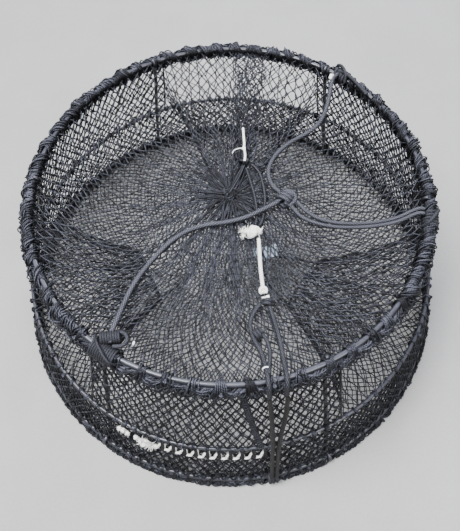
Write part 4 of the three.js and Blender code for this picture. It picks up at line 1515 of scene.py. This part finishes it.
def strays(surface, ring, hem, count, reach, rng, low, high):
    """Loose bights of netting that stand out of a bunched edge and turn back into it."""
    angle = draws(rng, 0, TAU, count)
    t = np.linspace(0, 1, 9)[None]
    away = hem["radius"] * 0.7 + reach * draws(rng, 0.35, 1, count) * np.sin(np.pi * t) ** 0.8
    around = draws(rng, low, high, count) + rng.normal(0, 0.5, (count, 1)) * (t - 0.5)
    along = angle + draws(rng, 4, 13, count) * rng.choice([-1, 1], (count, 1)) * MM / ring.radius * (t - 0.5)
    paths = round_ring(ring, away, around, along, hem["out"], -hem["down"])
    paths[..., 2] = np.maximum(paths[..., 2], TWINE)
    surface.tubes(paths, TWINE, sides=4, tint=0.45 * rng.random(count))


def is_clear(angle, keep_clear):
    """Whether the angle lies outside every gap that is kept clear."""
    return all(abs((angle - middle + math.pi) % TAU - math.pi) >= gap for middle, gap in keep_clear)


def bights(surface, ring, count, rng, keep_clear, lumpy):
    """Bundles of the netting's edge, which bulge outside the hoop between one lashing and the next."""
    t = np.linspace(0, 1, 13)
    rise = np.sin(np.pi * t) ** 0.8
    for k in range(count):
        angle = TAU * (k + 0.5 + rng.uniform(-0.15, 0.15)) / count
        if not is_clear(angle, keep_clear):
            continue
        bulge = (rng.uniform(4, 8) + 5 * lumpy(angle)) * MM
        span = rng.uniform(0.7, 1.15) * TAU / count
        lean = rng.uniform(-1, 1)
        for _ in range(BIGHT_STRANDS):
            spread = rng.normal(0, 1.7, 3) * MM
            curl = 1.6 * MM * np.sin(TAU * (t * rng.uniform(0.8, 2) + rng.random()))
            out = 3 * MM + (bulge + spread[0]) * rise
            down = (4.5 + 6 * lean * (t - 0.5)) * MM + (spread[1] + 2 * MM) * rise + curl
            along = angle + span * (t - 0.5) + spread[2] / ring.radius
            path = polar(ring.radius + out, along, ring.z - down)
            surface.tubes(path, 1.1 * MM, sides=5, tint=rng.random())


def wound_edge(surface, ring, start, end, turns, rng):
    """The netting's edge, wound round a hoop in a broad loose bundle, so that the rod shows between."""
    t = np.linspace(0, 1, turns * 16)
    drift = np.sin(TAU * turns * 0.23 * t) * 5 * MM / ring.radius
    lumps = 0.45 * np.sin(TAU * turns * 0.5 * t + rng.random())
    lumps = 1 + lumps * np.sin(TAU * turns * 0.19 * t + rng.random())
    for _ in range(BUNDLE_STRANDS):
        shift = rng.normal(0, 3.9) * MM / ring.radius
        sway = 2.2 * MM / ring.radius * np.sin(TAU * (turns * rng.uniform(0.3, 1.6) * t + rng.random()))
        around = math.radians(120) - TAU * turns * t + rng.normal(0, 0.25)
        around = around + 0.3 * np.sin(TAU * turns * 0.4 * t)
        lift = rng.uniform(1.2, 5.8) * MM * lumps
        lift = lift * (1 + 0.4 * np.sin(TAU * (turns * 0.83 * t + rng.random())))
        below = 3.2 * MM * np.clip(-np.sin(around), 0, 1)
        along = start + (end - start) * t + shift + sway + drift
        path = round_ring(ring, ring.rod + lift, around, along, 1.5 * MM, -below)
        surface.tubes(path, 1.15 * MM, sides=5, tint=rng.random())


def wrap(ring, hem, hem_radius, twine, around, angle):
    """Round a rod and its hem as a tight thread goes: a point for each direction `around`."""
    toward = math.atan2(-hem["down"], hem["out"])
    share = np.clip(0.5 + 1.6 * np.cos(around - toward), 0, 1)
    reach = (ring.rod * (1 - share) + hem_radius * share) + twine
    return round_ring(ring, reach, around, angle, hem["out"] * share, -hem["down"] * share)


def lashings(surface, ring, hem, hem_radius, count, turns, rng, twine, keep_clear=(), lumpy=None, fan=0.0):
    """Groups of slanting turns round a hoop and its hem, and knots on some. `fan` spreads them below."""
    for k in range(count):
        angle = TAU * (k + rng.uniform(-0.12, 0.12)) / count
        if not is_clear(angle, keep_clear):
            continue
        extra = 0 if lumpy is None else lumpy(angle)
        number = max(2, int(round(rng.normal(turns + 2.5 * extra, 0.8))))
        t = np.linspace(0, 1, number * 14 + 1)
        around = rng.uniform(0, TAU) + TAU * number * t
        slant = rng.uniform(-3.2, 3.2) * MM * np.cos(around + rng.uniform(0, TAU))
        wander = rng.uniform(0.6, 2.2) * MM * np.sin(TAU * t * rng.uniform(1, number))
        length = number * 2 * twine * rng.uniform(0.75, 1.15) * (1 + fan * (0.5 - 0.5 * np.sin(around)))
        along = angle + ((t - 0.5) * length + slant + wander) / ring.radius
        puff = rng.uniform(0.4, 1.6) * MM * (0.5 + 0.5 * np.sin(TAU * t * rng.uniform(0.5, number)))
        path = wrap(ring, hem, hem_radius, twine + puff + 0.8 * MM * extra, around, along)
        path[:, 2] = np.maximum(path[:, 2], twine)
        surface.tubes(path, twine, sides=6, tint=rng.random())
        if rng.random() < 0.45 + 0.5 * extra:
            knot_at = wrap(ring, hem, hem_radius, 2 * twine, rng.uniform(0.2, 1.4), angle)
            size = (4.2 * MM, 3.4 * MM, 2.8 * MM)
            tangle(surface, knot_at, size, twine, angle, None, sides=6, tint=rng.random(), step=1.2 * MM)


def clear_of(*degrees, gap):
    return [(math.radians(d), math.radians(gap)) for d in degrees]


def top_edge():
    rng = seeded("top_hem")

    def lumpy(angle):
        """1 where the edge is thickest, at the far side and the left, and 0 opposite."""
        return 0.5 + 0.5 * math.cos(angle - math.radians(125))

    hem = Surface()
    hem_strands(hem, TOP, TOP_HEM, 18, 0, TAU, True, rng, 1.25 * MM, 60)
    strays(hem, TOP, TOP_HEM, 2100, 8.5 * MM, rng, low=-2.6, high=0.7)
    put(hem, "top_hem_strands", NETTING, "top_hoop", "top_hem")

    surface = Surface()
    rng = seeded("top_lashing")
    widths = zip(HITCHES, (3.2, 2.2, 2.8))
    clear = [gap for (hitch, *_), width in widths for gap in clear_of(hitch, gap=width)]
    lashings(surface, TOP, TOP_HEM, 6.5 * MM, 54, 6.5, rng, LACING, clear, lumpy, fan=1.0)
    bights(surface, TOP, 50, rng, clear, lumpy)
    put(surface, "top_lashing", LASHING, "top_hoop")

    bundle = Surface()
    rng = seeded("bundle")
    for start, end, turns in ((32, 229, 34), (-38, 30, 12)):
        wound_edge(bundle, TOP, math.radians(start), math.radians(end), turns, rng)
    put(bundle, "top_edge_bundles", LASHING, "top_hoop")

    skirt = Surface()

    def at(u, v):
        angle = TAU * u
        frill = 3 * MM * np.sin(41 * angle) + 2 * MM * np.sin(97 * angle + 1)
        radius = TOP.radius + (7 + 4.5 * v) * MM + frill * v * 0.5
        return polar(radius, angle, TOP.z - 7 * MM - (13 * MM + frill) * v)

    net(skirt, at, 150, 3, True, seeded("skirt"), loose=0.35, bow=2.5 * MM)
    put(skirt, "top_net_edge", NETTING, "top_hoop")


def mid_edge():
    surface = Surface()
    no_hem = {"out": 0.5 * MM, "down": 0.5 * MM}
    lashings(surface, MID, no_hem, MID.rod, 118, 1.8, seeded("mid_lashing"), LACING)
    put(surface, "mid_lashing", LASHING, "mid_hoop")


def bottom_edge():
    strut_gap = math.radians(0.85)
    for index, angle in enumerate(STRUT_ANGLES):
        hem = Surface()
        name = f"bottom_hem_{index + 1}"
        start, end = angle + strut_gap, angle + TAU / 6 - strut_gap
        hem_strands(hem, BOTTOM, BOTTOM_HEM, 8, start, end, False, seeded(name), 1.35 * MM, 50)
        put(hem, f"bottom_hem_strands_{index + 1}", NETTING, "base", name)
    surface = Surface()
    rng = seeded("bottom_lashing")
    clear = clear_of(*[math.degrees(a) for a in STRUT_ANGLES], gap=1.1) + clear_of(TIE_FOOT, gap=1.8)
    lashings(surface, BOTTOM, BOTTOM_HEM, 3.4 * MM, 112, 2.0, rng, 1.15 * MM, clear)
    put(surface, "bottom_lashing", NETTING, "base")
    laces = Surface()
    rng = seeded("bottom_laces")
    bottom_laces(laces, rng)
    strays(laces, BOTTOM, BOTTOM_HEM, 1100, 4 * MM, rng, low=-0.7, high=1.5)
    put(laces, "bottom_laces", NETTING, "base")


def bottom_laces(surface, rng):
    """The twine that laces the side net to the bottom net, over the inside of the bottom hoop."""
    count = 190
    angle = TAU * (np.arange(count)[:, None] + draws(rng, -0.2, 0.2, count)) / count
    lean = draws(rng, 5, 9, count) * MM / BOTTOM.radius
    t = np.linspace(0, 1, 9)[None]
    inside = BOTTOM.rod + TWINE + 0.5 * MM
    beyond = np.clip(t - 0.6, 0, 1) / 0.4
    around = np.radians(70 + 130 * t)
    paths = round_ring(BOTTOM, inside, around, angle + lean * t, -9 * MM * beyond, -8 * MM * beyond)
    surface.tubes(paths, TWINE, sides=4, tint=rng.random(count))


# ---------------------------------------------------------------- the trap

camera()
floor()
lights()

bridle()
closure_line()
cotton()
cable_ties()
tag()
tie_down()
rot_cord()

hoop("bottom_hoop", "bottom_ring", BOTTOM, "base")
hoop("mid_hoop_rod", "mid_ring", MID, "mid_hoop")
hoop("top_hoop_rod", "top_ring", TOP, "top_hoop")
for index, angle in enumerate(STRUT_ANGLES):
    strut(index, angle)

lower_net()
upper_nets()
seam()
top_net()
bottom_net()
for index, angle in enumerate(TUNNEL_ANGLES):
    tunnel(index + 1, angle)
top_edge()
mid_edge()
bottom_edge()

json.dump([cad_box, [list(corner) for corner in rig.bounds()]], open("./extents.json", "w"))
